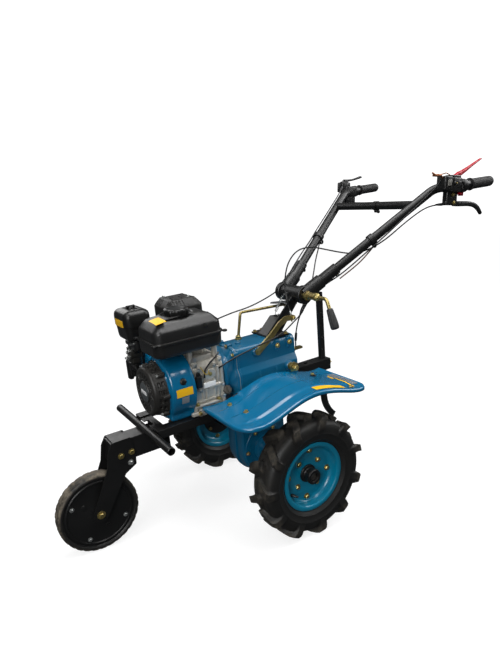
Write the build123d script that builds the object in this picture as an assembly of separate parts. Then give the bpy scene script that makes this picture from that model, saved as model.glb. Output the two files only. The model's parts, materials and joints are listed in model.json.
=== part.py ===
from build123d import *
import math
import os

# A walk-behind two-wheel tractor. Millimetres, X forward, Y to the machine's left, Z up.
# Every place is measured from the middle of the drive axle. The engine, frame and gearbox are
# drawn level, as "machine" places, and then pitched nose-down about the axle, as the machine
# stands on its wheels. Wheels and handlebar are drawn as they stand, as "standing" places.

# Wheels
DRIVE_TYRE_RADIUS = 203.0
DRIVE_TYRE_WIDTH = 105.0
DRIVE_TRACK_HALF = 291.0
RIM_FLANGE_RADIUS = 116.5
RIM_BEAD_RADIUS = 101.6
RIM_DISC_RADIUS = 90.0
RIM_HALF_WIDTH = 35.0
RIM_METAL = 3.5
FRONT_WHEEL_RADIUS = 127.0
FRONT_WHEEL_WIDTH = 45.0
FRONT_WHEEL_X = 600.0
FRONT_TYRE_DEPTH = 24.0
PITCH = 5.3
FIT_GAP = 0.3

# Hubs and drive axle
AXLE_RADIUS = 14.0
HUB_TUBE_RADIUS = 21.0
HUB_FLANGE_RADIUS = 62.0
HUB_BOSS_RADIUS = 30.0
HUB_COLLAR_RADIUS = 25.0
HUB_BOSS_REACH = 8.0
HUB_OUTREACH = 38.0
HUB_INREACH = 70.0
AXLE_RECESS = 10.0
AXLE_INNER_END = 35.0
RUNNING_GAP = 0.5

# Gearbox, clutch housing and final drive, in machine places
CRANK_Z = 315.0
GEARBOX_REAR = -155.0
SEAM_X = 95.0
GEARBOX_TOP = 393.0
GEARBOX_HALF_WIDTH = 66.0
GEARBOX_SKIRT_HALF = 78.0
GEARBOX_CREASE = 325.0
GEARBOX_FLOOR = 240.0
CLUTCH_RADIUS = 88.0
CLUTCH_FRONT = 152.0
FINAL_DRIVE_RADIUS = 95.0
FINAL_DRIVE_HALF = 52.0
BEARING_RADIUS = 42.0
BEARING_END = 112.0

# Engine, in machine places
ENGINE_FLOOR = 214.0
CRANKCASE_HALF = 84.0
CRANKCASE_TOP = 392.0
CRANKCASE_FRONT = 270.0
TANK_POST_X = ((156.0, 174.0), (244.0, 262.0))
TANK_POST_Y = (30.0, 62.0)
CYLINDER_TILT = 25.0
CYLINDER_REACH = 168.0
CYLINDER_HEIGHT = 112.0
HEAD_LENGTH = 52.0
SHROUD_RADIUS = 104.0
SHROUD_FRONT = 350.0
STARTER_REAR_RADIUS = 90.0
STARTER_FRONT_RADIUS = 76.0
STARTER_FRONT = 400.0

# Fuel tank, in machine places
TANK_REAR = 159.0
TANK_FRONT = 398.0
TANK_RIGHT = -25.0
TANK_LEFT = 136.0
TANK_FLOOR = 444.0
TANK_SEAM = 490.0
TANK_TOP = 558.0
TANK_LIP = 5.0
CAP_X = 283.0
CAP_RADIUS = 39.0
CAP_HEIGHT = 16.0

# Air cleaner, carburettor and muffler, in machine places
CLEANER_X = (318.0, 412.0)
CLEANER_Y = (-172.0, -47.0)
CLEANER_FLOOR = 470.0
CLEANER_TOP = 572.0
CARBURETTOR_X = (352.0, 384.0)
CARBURETTOR_TOP = 430.0
MUFFLER_X = (137.0, 266.0)
MUFFLER_Y = (-170.0, -36.0)
MUFFLER_FLOOR = 462.0
MUFFLER_TOP = 574.0

# Engine frame, tow arm and front fork, in machine places
RAIL_HALF = 90.0
RAIL_LEG = 28.0
RAIL_METAL = 4.0
RAIL_REAR = 62.0
BUMPER_X = 421.0
BUMPER_Z = 200.0
BUMPER_RADIUS = 12.5
BUMPER_HALF = 212.0
TOW_ARM_HALF = 31.0
TOW_ARM_Z = (126.0, 195.0)
TOW_ARM_REAR = 374.0
TOW_ARM_END = 64.0
TOW_ARM_METAL = 4.0
FORK_METAL = 4.0
FORK_FOOT_RADIUS = 24.0
FRONT_AXLE_RADIUS = 6.0

# Mudguards, in machine places
GUARD_METAL = 2.0
GUARD_INNER = 92.0
GUARD_OUTREACH = 50.0
GUARD_FRONT = 250.0
GUARD_REAR = -240.0
GUARD_LIP = 12.0
GUARD_CORNER = 70.0
GUARD_REAR_CORNER = 35.0
GUARD_OVER_TYRE = 33.0
STRAP_METAL = 5.0
FRONT_STRAP_X = (118.0, 140.0)
REAR_STRAP_X = (-152.0, -130.0)
REAR_STRAP_Z = 246.0
STRAP_REACH = 90.0

# Handlebar column and arms: foot plate in machine places, the rest in standing places
COLUMN_PLATE_X = (-135.0, -58.0)
COLUMN_PLATE_HALF = 62.0
COLUMN_METAL = 6.0
COLUMN_DEPTH = (66.0, 40.0)
COLUMN_HALF = 26.0
COLUMN_WALL = 5.0
COLUMN_WEB_TOP = 462.0
SELECTOR_ASIDE = 4.3
GATE_PLATE_Z = (502.0, 506.0)
GATE_PLATE = [(-165, 21), (-119, 21), (-111, -20), (-88, -40), (-100, -50), (-165, -44)]
PIVOT_X = -164.0
PIVOT_Z = 540.0
PIVOT_BARREL_RADIUS = 28.0
PIVOT_BARREL_HALF = 46.0
PIVOT_BOLT_RADIUS = 8.0
EAR_INNER = 48.0
EAR_OUTER = 70.0
EAR_RADIUS = 33.0
SOCKET_END = (-282.0, 98.0, 631.0)
SOCKET_WALL = 5.0
SOCKET_DEPTH = 60.0
SOCKET_BEND = 60.0
TUBE_RADIUS = 16.0
CROSSBAR_RADIUS = 15.0
CROSSBAR_JOINT = (-550.0, 202.0, 848.0)
GRIP_START = (-722.0, 277.0, 917.0)
GRIP_END = (-862.0, 286.0, 935.0)
GRIP_WALL = 3.0
BEND_RADIUS = 90.0
HANDLE_STRAIGHT = 95.0
CRANK_SLEEVE_END = 128.0
CRANK_DROP = 37.0
CRANK_GRIP_START = (-164.0, 196.0, 507.0)
CRANK_GRIP_END = (-164.0, 228.0, 445.0)

# Controls on the handlebar, in standing places of the left side
CONTROL_X = (-735.0, -604.0)
CONTROL_Y = (236.0, 290.0)
CONTROL_Z = (891.0, 947.0)
CLAMP_TOP = 935.0
THROTTLE_LEVER_Y = (256.0, 268.0)
BRACKET_X = (-703.0, -641.0)
BRACKET_Y = (246.0, 272.0)
BRACKET_FLOOR = 845.0
LEVER_Y = (252.0, 266.0)
THROTTLE_X = (-672.0, -618.0)
THROTTLE_Z = (909.0, 955.0)

# Gear and clutch linkage, in machine places, and the return spring, in standing places
RELEASE_LEVER_FOOT = (9.0, 368.0)
RELEASE_LEVER_METAL = 6.0
RELEASE_PIN_RADIUS = 5.0
RELEASE_LEVER_HOLE = (-148.4, 455.6)
SELECTOR_X = 17.0
SELECTOR_TOP = 486.0
SELECTOR_RADIUS = 5.0
SIDE_SHAFT_X = -112.0
SIDE_SHAFT_Z = 290.0
SIDE_SHAFT_END = 126.0
REVERSE_ARM_Z = 321.0
REVERSE_ARM_END = (-216.0, 22.0)
SPRING_TOP = (-115.0, 530.0)
SPRING_LOW = (-84.0, 480.0)
SPRING_RADIUS = 5.0
HOOK_RADIUS = 1.5

# Cables held between the handlebar and the machine, in standing places
CABLE_RADIUS = 2.5
ARC_SHARE = 0.45
THROTTLE_CABLE = [
    (-616.2, -246, 928), (-588, -232, 901), (-545, -215, 867), (-499, -198, 829), (-452, -179, 793),
    (-405, -161, 756), (-358, -142, 715), (-309, -127, 677), (-262, -116, 632), (-214, -106, 580),
    (-164, -92, 539), (-112, -80, 521), (-55, -66, 506), (5, -52, 494), (62, -44, 487), (104, -34, 481),
    (144, -28, 473), (193, -26.5, 458), (240, -26.5, 434), (283, -27, 408), (313.6, -27, 392.2),
    (349.3, -27, 388),
]
CLUTCH_CABLE = [
    (-639.7, 259, 850), (-606, 250, 848), (-571, 233, 837), (-534, 214, 809), (-489, 196, 772),
    (-448, 169, 728), (-404, 137, 694), (-357, 104, 677), (-310, 78, 684), (-264, 53, 695),
    (-214, 33, 706), (-165, 18, 696), (-130, 13, 658), (-111, 18, 609), (-102, 30, 560),
    (-101, 46, 518), (-105.7, 63, 473.5),
]
REVERSE_CABLE = [
    (-639.7, -259, 853), (-606, -247, 852), (-569, -229, 837), (-532, -214, 803), (-485, -195, 768),
    (-443, -172, 731), (-404, -140, 702), (-366, -104, 677), (-324, -68, 645), (-285, -32, 600),
    (-249, -2, 557), (-214, 22, 522), (-184, 33, 488), (-164, 35, 455), (-155, 33, 420),
    (-153, 29, 382), (-159, 24, 341.8),
]
STOP_WIRE = [
    (-601.8, 270, 937), (-585, 275, 921), (-574, 264, 899), (-560, 245, 875), (-535, 228, 845),
    (-495, 207, 803), (-450, 186, 758), (-405, 163, 713), (-376, 142, 681), (-340, 119, 642),
    (-301, 94, 603), (-260, 69, 573), (-226, 52, 544), (-198, 45, 513), (-175, 44, 483), (-152, 49, 461),
    (-122, 61, 450), (-90, 76, 439), (-58, 86, 424), (-14, 90, 408), (36, 88.5, 396), (84, 88, 381),
    (134, 90, 370), (174, 89.5, 354), (207.3, 86.8, 339),
]

# Hitch and depth stake, in machine places
STAKE_X = -333.0
STAKE_DEPTH = 22.0
STAKE_WIDTH = 15.0
STAKE_TOP = 503.0
STAKE_STRAIGHT_END = 92.0
STAKE_HOLE_PITCH = 48.0
STAKE_HOLE_RADIUS = 4.5
STAKE_GAP = 1.0
HITCH_HALF = 24.0
HITCH_Z = (198.0, 241.0)
HITCH_PIN_X = -250.0
HITCH_PIN_RADIUS = 9.0

PITCHED = Rot(0, PITCH, 0)

pieces = {}


def block(x, y, z):
    """Box between the two ends given on each axis."""
    size = Box(x[1] - x[0], y[1] - y[0], z[1] - z[0])
    return Pos(sum(x) / 2, sum(y) / 2, sum(z) / 2) * size


def rod(start, end, radius):
    """Round bar between two points."""
    start, end = Vector(*start), Vector(*end)
    foot = Plane(origin=start, z_dir=end - start)
    return extrude(foot * Circle(radius), (end - start).length)


def disc(x, z, radius, y):
    """Round bar along Y between two places on that axis."""
    return rod((x, y[0], z), (x, y[1], z), radius)


def barrel(y, z, radius, x):
    """Round bar along X between two places on that axis."""
    return rod((x[0], y, z), (x[1], y, z), radius)


def tube_path(points, radii, radius):
    """Round bar along straight runs joined by tangent arcs."""
    path = FilletPolyline(*points, radius=radii)
    section = Plane(origin=path @ 0, z_dir=path % 0) * Circle(radius)
    return sweep(section, path=path)


def side_plate(points, y, corner=0.0):
    """Plate with an outline in the XZ plane, between two places on Y."""
    face = make_face(Polyline(*[(x, 0, z) for x, z in points], close=True))
    plate = Pos(0, y[0], 0) * extrude(face, y[1] - y[0], dir=(0, 1, 0))
    if corner:
        plate = fillet(plate.edges().filter_by(Axis.Y), corner)
    return plate


def turned(profile, y_centre, side):
    """Solid of revolution about Y: the profile holds radius and reach outboard of the centre."""
    face = make_face(Polyline(*[(r, side * t, 0) for r, t in profile], close=True))
    return Pos(0, y_centre, 0) * revolve(face, Axis.Y)


def cable(points, name):
    """Bar of the cable's size along its points, with arcs as wide as each pair of runs allows."""
    spots = [Vector(*point) for point in points]
    radii = []
    for before, corner, after in zip(spots, spots[1:], spots[2:]):
        run_in, run_out = corner - before, after - corner
        half_turn = math.radians(run_in.get_angle(run_out) / 2)
        radii.append(ARC_SHARE * min(run_in.length, run_out.length) / math.tan(half_turn))
    solid = tube_path(points, radii, CABLE_RADIUS)
    path = FilletPolyline(*points, radius=radii)
    share = solid.volume / (math.pi * CABLE_RADIUS**2 * path.length)
    print(name, "length", round(path.length), "least radius", round(min(radii)), "fill", round(share, 4))
    return solid


def mirrored(solid):
    """The same piece on the machine's right side."""
    return mirror(solid, Plane.XZ)


def moved_from(point, y_scale=1.0):
    """A point of the left side, or of the right side with a scale of -1."""
    return (point[0], y_scale * point[1], point[2])


def drive_wheel(side):
    """Tyre, split rim, hub and half axle of one drive wheel, in places from the axle."""
    centre = side * DRIVE_TRACK_HALF
    half = DRIVE_TYRE_WIDTH / 2
    seat = RIM_BEAD_RADIUS + RIM_METAL + FIT_GAP
    bead = RIM_HALF_WIDTH - RIM_METAL - FIT_GAP
    bulge = (RIM_FLANGE_RADIUS + DRIVE_TYRE_RADIUS) / 2
    tyre = turned(
        [
            (seat, -bead),
            (RIM_FLANGE_RADIUS + FIT_GAP, -bead),
            (bulge, -half),
            (DRIVE_TYRE_RADIUS - 14, -half),
            (DRIVE_TYRE_RADIUS, -half + 16),
            (DRIVE_TYRE_RADIUS, half - 16),
            (DRIVE_TYRE_RADIUS - 14, half),
            (bulge, half),
            (RIM_FLANGE_RADIUS + FIT_GAP, bead),
            (seat, bead),
        ],
        centre,
        side,
    )
    disc_half = RIM_METAL / 2 + 0.5
    well = 18.0
    rim = turned(
        [
            (HUB_BOSS_RADIUS + FIT_GAP, -disc_half),
            (RIM_DISC_RADIUS - RIM_METAL, -disc_half),
            (RIM_BEAD_RADIUS - 1, -well),
            (RIM_BEAD_RADIUS, -RIM_HALF_WIDTH),
            (RIM_FLANGE_RADIUS, -RIM_HALF_WIDTH),
            (RIM_FLANGE_RADIUS, -RIM_HALF_WIDTH + RIM_METAL),
            (RIM_BEAD_RADIUS + RIM_METAL, -RIM_HALF_WIDTH + RIM_METAL),
            (RIM_BEAD_RADIUS + RIM_METAL, -well),
            (RIM_DISC_RADIUS + RIM_METAL, 0),
            (RIM_BEAD_RADIUS + RIM_METAL, well),
            (RIM_BEAD_RADIUS + RIM_METAL, RIM_HALF_WIDTH - RIM_METAL),
            (RIM_FLANGE_RADIUS, RIM_HALF_WIDTH - RIM_METAL),
            (RIM_FLANGE_RADIUS, RIM_HALF_WIDTH),
            (RIM_BEAD_RADIUS, RIM_HALF_WIDTH),
            (RIM_BEAD_RADIUS - 1, well),
            (RIM_DISC_RADIUS - RIM_METAL, disc_half),
            (HUB_BOSS_RADIUS + FIT_GAP, disc_half),
        ],
        centre,
        side,
    )
    bore = AXLE_RADIUS + FIT_GAP
    hub = turned(
        [
            (bore, -HUB_INREACH),
            (HUB_TUBE_RADIUS, -HUB_INREACH),
            (HUB_TUBE_RADIUS, -disc_half - 8),
            (HUB_FLANGE_RADIUS, -disc_half - 8),
            (HUB_FLANGE_RADIUS, -disc_half),
            (HUB_BOSS_RADIUS, -disc_half),
            (HUB_BOSS_RADIUS, HUB_BOSS_REACH),
            (HUB_TUBE_RADIUS, HUB_BOSS_REACH + 3),
            (HUB_TUBE_RADIUS, HUB_OUTREACH - 16),
            (HUB_COLLAR_RADIUS, HUB_OUTREACH - 14),
            (HUB_COLLAR_RADIUS, HUB_OUTREACH),
            (bore, HUB_OUTREACH),
        ],
        centre,
        side,
    )
    tip = centre + side * (HUB_OUTREACH - AXLE_RECESS)
    axle = disc(0, 0, AXLE_RADIUS, (side * AXLE_INNER_END, tip))
    return tyre, rim, hub, axle


def front_wheel():
    """Rubber tyre on a pressed disc with a through hub, about its own axle."""
    half = FRONT_WHEEL_WIDTH / 2
    seat = FRONT_WHEEL_RADIUS - FRONT_TYRE_DEPTH
    tyre = turned(
        [
            (seat + FIT_GAP, -half + 3),
            (seat + 4, -half),
            (FRONT_WHEEL_RADIUS - 6, -half),
            (FRONT_WHEEL_RADIUS, -half + 6),
            (FRONT_WHEEL_RADIUS, half - 6),
            (FRONT_WHEEL_RADIUS - 6, half),
            (seat + 4, half),
            (seat + FIT_GAP, half - 3),
        ],
        0,
        1,
    )
    wall = 2.5
    bore = FRONT_AXLE_RADIUS + FIT_GAP
    hub_half = TOW_ARM_HALF - 2
    drum = turned(
        [
            (bore, -hub_half),
            (15, -hub_half),
            (15, -half + 6),
            (seat - 14, -half + 6),
            (seat - 8, -half + 2),
            (seat, -half + 2),
            (seat, half - 2),
            (seat - 8, half - 2),
            (seat - 14, half - 6),
            (15, half - 6),
            (15, hub_half),
            (bore, hub_half),
        ],
        0,
        1,
    )
    hollow = turned(
        [
            (17, -half + 6 + wall),
            (seat - 15, -half + 6 + wall),
            (seat - 9, -half + 2 + wall),
            (seat - wall, -half + 2 + wall),
            (seat - wall, half - 2 - wall),
            (seat - 9, half - 2 - wall),
            (seat - 15, half - 6 - wall),
            (17, half - 6 - wall),
        ],
        0,
        1,
    )
    return tyre, drum - hollow


def gearbox():
    """Upper gearbox: a rounded box whose skirt bulges out below a crease."""
    top, skirt = GEARBOX_HALF_WIDTH, GEARBOX_SKIRT_HALF
    outline = [
        (-top, GEARBOX_TOP),
        (top, GEARBOX_TOP),
        (top, GEARBOX_CREASE),
        (skirt, GEARBOX_CREASE - 20),
        (skirt, GEARBOX_FLOOR),
        (-skirt, GEARBOX_FLOOR),
        (-skirt, GEARBOX_CREASE - 20),
        (-top, GEARBOX_CREASE),
    ]
    face = make_face(Polyline(*[(0, y, z) for y, z in outline], close=True))
    length = SEAM_X - GEARBOX_REAR
    body = Pos(GEARBOX_REAR, 0, 0) * extrude(face, length, dir=(1, 0, 0))
    shoulders = body.edges().filter_by(Axis.X).group_by(Axis.Z)[-1]
    return fillet(shoulders, 18)


def clutch_housing():
    """Cone between engine and gearbox, with a flange at each end."""
    x = (SEAM_X, CLUTCH_FRONT)
    flange = barrel(0, CRANK_Z, CLUTCH_RADIUS - 2, (x[0], x[0] + 9))
    cone = barrel(0, CRANK_Z, CLUTCH_RADIUS - 10, x)
    mouth = barrel(0, CRANK_Z, CLUTCH_RADIUS, (x[1] - 10, x[1]))
    return flange + cone + mouth


def final_drive():
    """Lower case from the gearbox down to the round axle drum, with a blind seat for each axle."""
    half = FINAL_DRIVE_HALF
    drum = disc(0, 0, FINAL_DRIVE_RADIUS, (-half, half))
    leg = side_plate(
        [(-95, GEARBOX_FLOOR), (90, GEARBOX_FLOOR), (90, 0), (-FINAL_DRIVE_RADIUS, 0)],
        (-half, half),
    )
    case = drum + leg
    for side in (-1, 1):
        seat = (side * (AXLE_INNER_END - 1), side * (half + 1))
        case -= disc(0, 0, AXLE_RADIUS + RUNNING_GAP, seat)
    return case


def axle_housing():
    """Left bearing tube that carries the half axle beside the final drive."""
    tube = disc(0, 0, BEARING_RADIUS, (FINAL_DRIVE_HALF, BEARING_END))
    return tube - disc(0, 0, AXLE_RADIUS + RUNNING_GAP, (FINAL_DRIVE_HALF - 1, BEARING_END + 1))


def engine_block():
    """Crankcase with its feet, the tilted cylinder and the posts that carry the tank."""
    foot_top = ENGINE_FLOOR + 10
    x, half = (CLUTCH_FRONT, CRANKCASE_FRONT), CRANKCASE_HALF
    case = block(x, (-half, half), (foot_top, CRANKCASE_TOP))
    case = fillet(case.edges().filter_by(Axis.X).group_by(Axis.Z)[-1], 30)
    foot_half = RAIL_HALF - 2
    feet = block((CLUTCH_FRONT + 8, CRANKCASE_FRONT), (-foot_half, foot_half), (ENGINE_FLOOR, foot_top))
    cylinder = tilted_cylinder(0, CYLINDER_REACH)
    body = case + feet + cylinder
    for x in TANK_POST_X:
        body += block(x, TANK_POST_Y, (CRANKCASE_TOP - 40, TANK_FLOOR))
    return body


def tilted_cylinder(near, far):
    """Slice of the cylinder, which lies to the right and rises outwards from the crank."""
    x = (CLUTCH_FRONT + 10, CRANKCASE_FRONT)
    slab = block(x, (-far, -near), (-CYLINDER_HEIGHT / 2, CYLINDER_HEIGHT / 2))
    return Pos(0, 0, CRANK_Z) * Rot(-CYLINDER_TILT, 0, 0) * slab


def cylinder_head():
    """Head and valve cover on the end of the cylinder."""
    head = tilted_cylinder(CYLINDER_REACH, CYLINDER_REACH + HEAD_LENGTH)
    return fillet(head.edges().filter_by(Axis.X), 8)


def fan_shroud():
    """Sheet cowl round the flywheel, flat at its foot and drawn out over the cylinder."""
    x = (CRANKCASE_FRONT, SHROUD_FRONT)
    drum = barrel(0, CRANK_Z, SHROUD_RADIUS, x)
    foot = block(x, (-70, 70), (ENGINE_FLOOR + 2, CRANK_Z))
    duct = block(x, (-150, 0), (-44, 62))
    duct = Pos(0, 0, CRANK_Z) * Rot(-CYLINDER_TILT, 0, 0) * duct
    below_tank = block((x[0] - 1, x[1] + 1), (-300, 300), (ENGINE_FLOOR, TANK_FLOOR - 2))
    return (drum + foot + duct) & below_tank


def recoil_starter():
    """Round starter cover that narrows towards the front."""
    cone = Plane(origin=(SHROUD_FRONT, 0, CRANK_Z), z_dir=(1, 0, 0))
    rear = cone * Circle(STARTER_REAR_RADIUS)
    front = cone.offset(STARTER_FRONT - SHROUD_FRONT) * Circle(STARTER_FRONT_RADIUS)
    return loft([rear.face(), front.face()])


def fuel_tank():
    """Tub and domed lid that meet at a lip."""
    x, y = (TANK_REAR, TANK_FRONT), (TANK_RIGHT, TANK_LEFT)
    x_in, y_in = (x[0] + TANK_LIP, x[1] - TANK_LIP), (y[0] + TANK_LIP, y[1] - TANK_LIP)
    tub = block(x_in, y_in, (TANK_FLOOR, TANK_SEAM))
    tub = fillet(tub.edges().filter_by(Axis.Z), 30)
    tub = fillet(tub.edges().group_by(Axis.Z)[0], 12)
    lip = fillet(block(x, y, (TANK_SEAM - 3, TANK_SEAM + 3)).edges().filter_by(Axis.Z), 30)
    lid = block(x_in, y_in, (TANK_SEAM, TANK_TOP))
    lid = fillet(lid.edges().filter_by(Axis.Z), 30)
    lid = chamfer(lid.edges().group_by(Axis.Z)[-1], 26)
    return tub + lip + lid


def fuel_cap():
    """Round screw cap on the tank."""
    middle = (TANK_LEFT + TANK_RIGHT) / 2
    cap = Pos(CAP_X, middle, TANK_TOP + CAP_HEIGHT / 2) * Cylinder(CAP_RADIUS, CAP_HEIGHT)
    return fillet(cap.edges().group_by(Axis.Z)[-1], 6)


def air_cleaner():
    """Box with rounded corners above a narrower elbow that sits on the carburettor."""
    box = fillet(block(CLEANER_X, CLEANER_Y, (CLEANER_FLOOR, CLEANER_TOP)).edges().filter_by(Axis.Z), 20)
    box = fillet(box.edges().group_by(Axis.Z)[-1], 12)
    elbow_y = (CLEANER_Y[0] + 22, CLEANER_Y[1] - 22)
    elbow = block(CARBURETTOR_X, elbow_y, (CARBURETTOR_TOP, CLEANER_FLOOR))
    return box + elbow


def carburettor():
    """Carburettor, choke and fuel tap between the cylinder and the air cleaner."""
    body = block((SHROUD_FRONT, CARBURETTOR_X[1]), (-158, -112), (372, CARBURETTOR_TOP))
    tap = block((SHROUD_FRONT, CARBURETTOR_X[1] - 4), (-176, -140), (318, 372))
    return body + tap


def muffler():
    """Muffler box in its guard, on two feet over the cylinder head."""
    box = fillet(block(MUFFLER_X, MUFFLER_Y, (MUFFLER_FLOOR, MUFFLER_TOP)).edges().filter_by(Axis.Z), 24)
    box = fillet(box.edges().group_by(Axis.Z)[-1], 14)
    pipe = rod((190, -150, MUFFLER_FLOOR), (190, -150, 420), 16)
    return box + (pipe - tilted_cylinder(0, CYLINDER_REACH + HEAD_LENGTH))


def frame_rail():
    """Left angle-iron rail: a flange from the final drive outwards and a leg outside."""
    x = (RAIL_REAR, BUMPER_X - BUMPER_RADIUS - FIT_GAP)
    top = ENGINE_FLOOR
    flange = block(x, (FINAL_DRIVE_HALF, RAIL_HALF), (top - RAIL_METAL, top))
    leg = block(x, (RAIL_HALF - RAIL_METAL, RAIL_HALF), (top - RAIL_LEG, top))
    return flange + leg


def cross_plate():
    """Channel between the front ends of the rails, with a notch in its top."""
    x = (TOW_ARM_REAR - RAIL_METAL, BUMPER_X - BUMPER_RADIUS - FIT_GAP)
    half = RAIL_HALF - RAIL_METAL
    under = ENGINE_FLOOR - RAIL_METAL
    top = block(x, (-half, half), (under - RAIL_METAL, under))
    web = block((x[0], x[0] + RAIL_METAL), (-half, half), (TOW_ARM_Z[0], under - RAIL_METAL))
    notch = block((x[1] - 16, x[1] + 1), (-22, 22), (under - RAIL_METAL - 1, under + 1))
    return top + web - notch


def bumper_bar():
    """Straight tube across the front of the frame."""
    return disc(BUMPER_X, BUMPER_Z, BUMPER_RADIUS, (-BUMPER_HALF, BUMPER_HALF))


def tow_arm():
    """Box-section arm from the cross plate to the front fork, notched for the bumper."""
    axle_x, axle_z = front_axle_place()
    x, half = (TOW_ARM_REAR, axle_x - TOW_ARM_END), TOW_ARM_HALF
    metal = TOW_ARM_METAL
    top = TOW_ARM_Z[1]
    arm = block(x, (-half, half), TOW_ARM_Z)
    arm -= block(x, (-half + metal, half - metal), (TOW_ARM_Z[0] - 1, top - metal))
    return arm - disc(BUMPER_X, BUMPER_Z, BUMPER_RADIUS + FIT_GAP, (-2 * half, 2 * half))


def front_axle_place():
    """Front axle in machine places, found from where its wheel stands."""
    away_x = FRONT_WHEEL_X
    away_z = FRONT_WHEEL_RADIUS - DRIVE_TYRE_RADIUS
    turn = math.radians(PITCH)
    return (
        away_x * math.cos(turn) - away_z * math.sin(turn),
        away_x * math.sin(turn) + away_z * math.cos(turn),
    )


def front_fork():
    """Two side plates on the tow arm, joined over their tops, down to the front axle."""
    axle_x, axle_z = front_axle_place()
    top = TOW_ARM_Z[1]
    outline = [
        (axle_x - 136, top - 55),
        (axle_x - 128, top + FORK_METAL),
        (axle_x - 68, top + FORK_METAL),
        (axle_x - 52, top - 23),
        (axle_x - 43, top - 72),
        (axle_x + 18, axle_z + 14),
        (axle_x + 6, axle_z - 22),
        (axle_x - 20, axle_z - 14),
        (axle_x - 74, axle_z + 72),
        (axle_x - 96, top - 110),
        (axle_x - 134, top - 89),
    ]
    y = (TOW_ARM_HALF, TOW_ARM_HALF + FORK_METAL)
    left = side_plate(outline, y, corner=6)
    left += disc(axle_x, axle_z, FORK_FOOT_RADIUS, y)
    left -= disc(axle_x, axle_z, FRONT_AXLE_RADIUS + FIT_GAP, (y[0] - 1, y[1] + 1))
    cap = block((axle_x - 118, axle_x - 70), (-y[0], y[0]), (top, top + FORK_METAL))
    return left + mirrored(left) + cap


def front_axle_bolt():
    """Axle bolt through both fork plates, with its head and nut outside them."""
    axle_x, axle_z = front_axle_place()
    plate = TOW_ARM_HALF + FORK_METAL
    shank = disc(axle_x, axle_z, FRONT_AXLE_RADIUS, (-plate, plate))
    head = disc(axle_x, axle_z, 10, (plate, plate + 6))
    nut = disc(axle_x, axle_z, 10, (-plate - 6, -plate))
    return shank + head + nut


def guard_band(below, above=0.0):
    """Side profile of the mudguard between two depths about its crest, across its width."""
    level = DRIVE_TYRE_RADIUS + GUARD_OVER_TYRE
    crest = [
        (GUARD_FRONT, level + 14),
        (205, level + 12),
        (160, level + 13),
        (60, level + 43),
        (-20, level + 54),
        (-100, level + 43),
        (-180, level + 27),
        (GUARD_REAR, level + 15),
    ]
    over = Spline(*[(x, 0, z + above) for x, z in crest])
    under = Spline(*[(x, 0, z - below) for x, z in crest])
    ends = [Line(over @ 0, under @ 0), Line(over @ 1, under @ 1)]
    face = make_face([over, under] + ends)
    outer = DRIVE_TRACK_HALF + GUARD_OUTREACH
    return Pos(0, GUARD_INNER - 10, 0) * extrude(face, outer - GUARD_INNER + 20, dir=(0, 1, 0))


def guard_plan(inset):
    """Plan outline of the mudguard with its rounded outer corners, as a tall prism."""
    outer = DRIVE_TRACK_HALF + GUARD_OUTREACH - inset
    face = Rectangle(GUARD_FRONT - GUARD_REAR - 2 * inset, outer - GUARD_INNER)
    face = Pos((GUARD_FRONT + GUARD_REAR) / 2, (outer + GUARD_INNER) / 2) * face
    front_corner = face.vertices().group_by(Axis.Y)[-1].sort_by(Axis.X)[-1]
    face = fillet(front_corner, GUARD_CORNER - inset)
    rear_corner = face.vertices().group_by(Axis.Y)[-1].sort_by(Axis.X)[0]
    return extrude(fillet(rear_corner, GUARD_REAR_CORNER - inset), 400)


def mudguard():
    """Left mudguard: a curved sheet with a lip turned down round its free edges."""
    sheet = guard_band(GUARD_METAL) & guard_plan(0)
    lip = guard_band(GUARD_LIP) & (guard_plan(0) - guard_plan(GUARD_METAL))
    return sheet + lip


def guard_straps():
    """Front strap from the rail and rear strap from the gearbox, up to the left mudguard."""
    metal, top = STRAP_METAL, DRIVE_TYRE_RADIUS + 120
    end = RAIL_HALF + STRAP_REACH
    front = block(FRONT_STRAP_X, (RAIL_HALF - 26, end), (ENGINE_FLOOR, ENGINE_FLOOR + metal))
    front += block(FRONT_STRAP_X, (end - 2 * metal, end), (ENGINE_FLOOR, top))
    front += block(FRONT_STRAP_X, (RAIL_HALF + 4, RAIL_HALF + 4 + metal), (ENGINE_FLOOR, top))
    rear = block(REAR_STRAP_X, (GEARBOX_SKIRT_HALF, end), (REAR_STRAP_Z, REAR_STRAP_Z + metal))
    rear += block(REAR_STRAP_X, (end - 2 * metal, end), (REAR_STRAP_Z, top))
    sheet_and_above = guard_band(GUARD_METAL, 140)
    return Compound([front - sheet_and_above, rear - sheet_and_above])


def column_foot():
    """Foot plate of the handlebar column on the gearbox's top."""
    half = COLUMN_PLATE_HALF
    plate = block(COLUMN_PLATE_X, (-half, half), (GEARBOX_TOP, GEARBOX_TOP + COLUMN_METAL))
    return PITCHED * plate


def column_post():
    """Full bar from the foot plate up to the pivot, narrower at its top."""
    foot = PITCHED * Pos(sum(COLUMN_PLATE_X) / 2, 0, GEARBOX_TOP + COLUMN_METAL)
    head = Pos(PIVOT_X, 0, PIVOT_Z)
    low = Plane(foot) * Rectangle(COLUMN_DEPTH[0], 2 * COLUMN_HALF)
    high = Plane(head) * Rectangle(COLUMN_DEPTH[1], 2 * COLUMN_HALF)
    return loft([low.face(), high.face()])


def column_web():
    """Front web between the column's cheeks, which stops below the pivot."""
    inner = COLUMN_HALF - COLUMN_WALL
    post = column_post()
    layer = post - Pos(-COLUMN_WALL / math.cos(math.radians(38)), 0, 0) * post
    return layer & block((-300, 300), (-inner, inner), (0, COLUMN_WEB_TOP))


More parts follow.
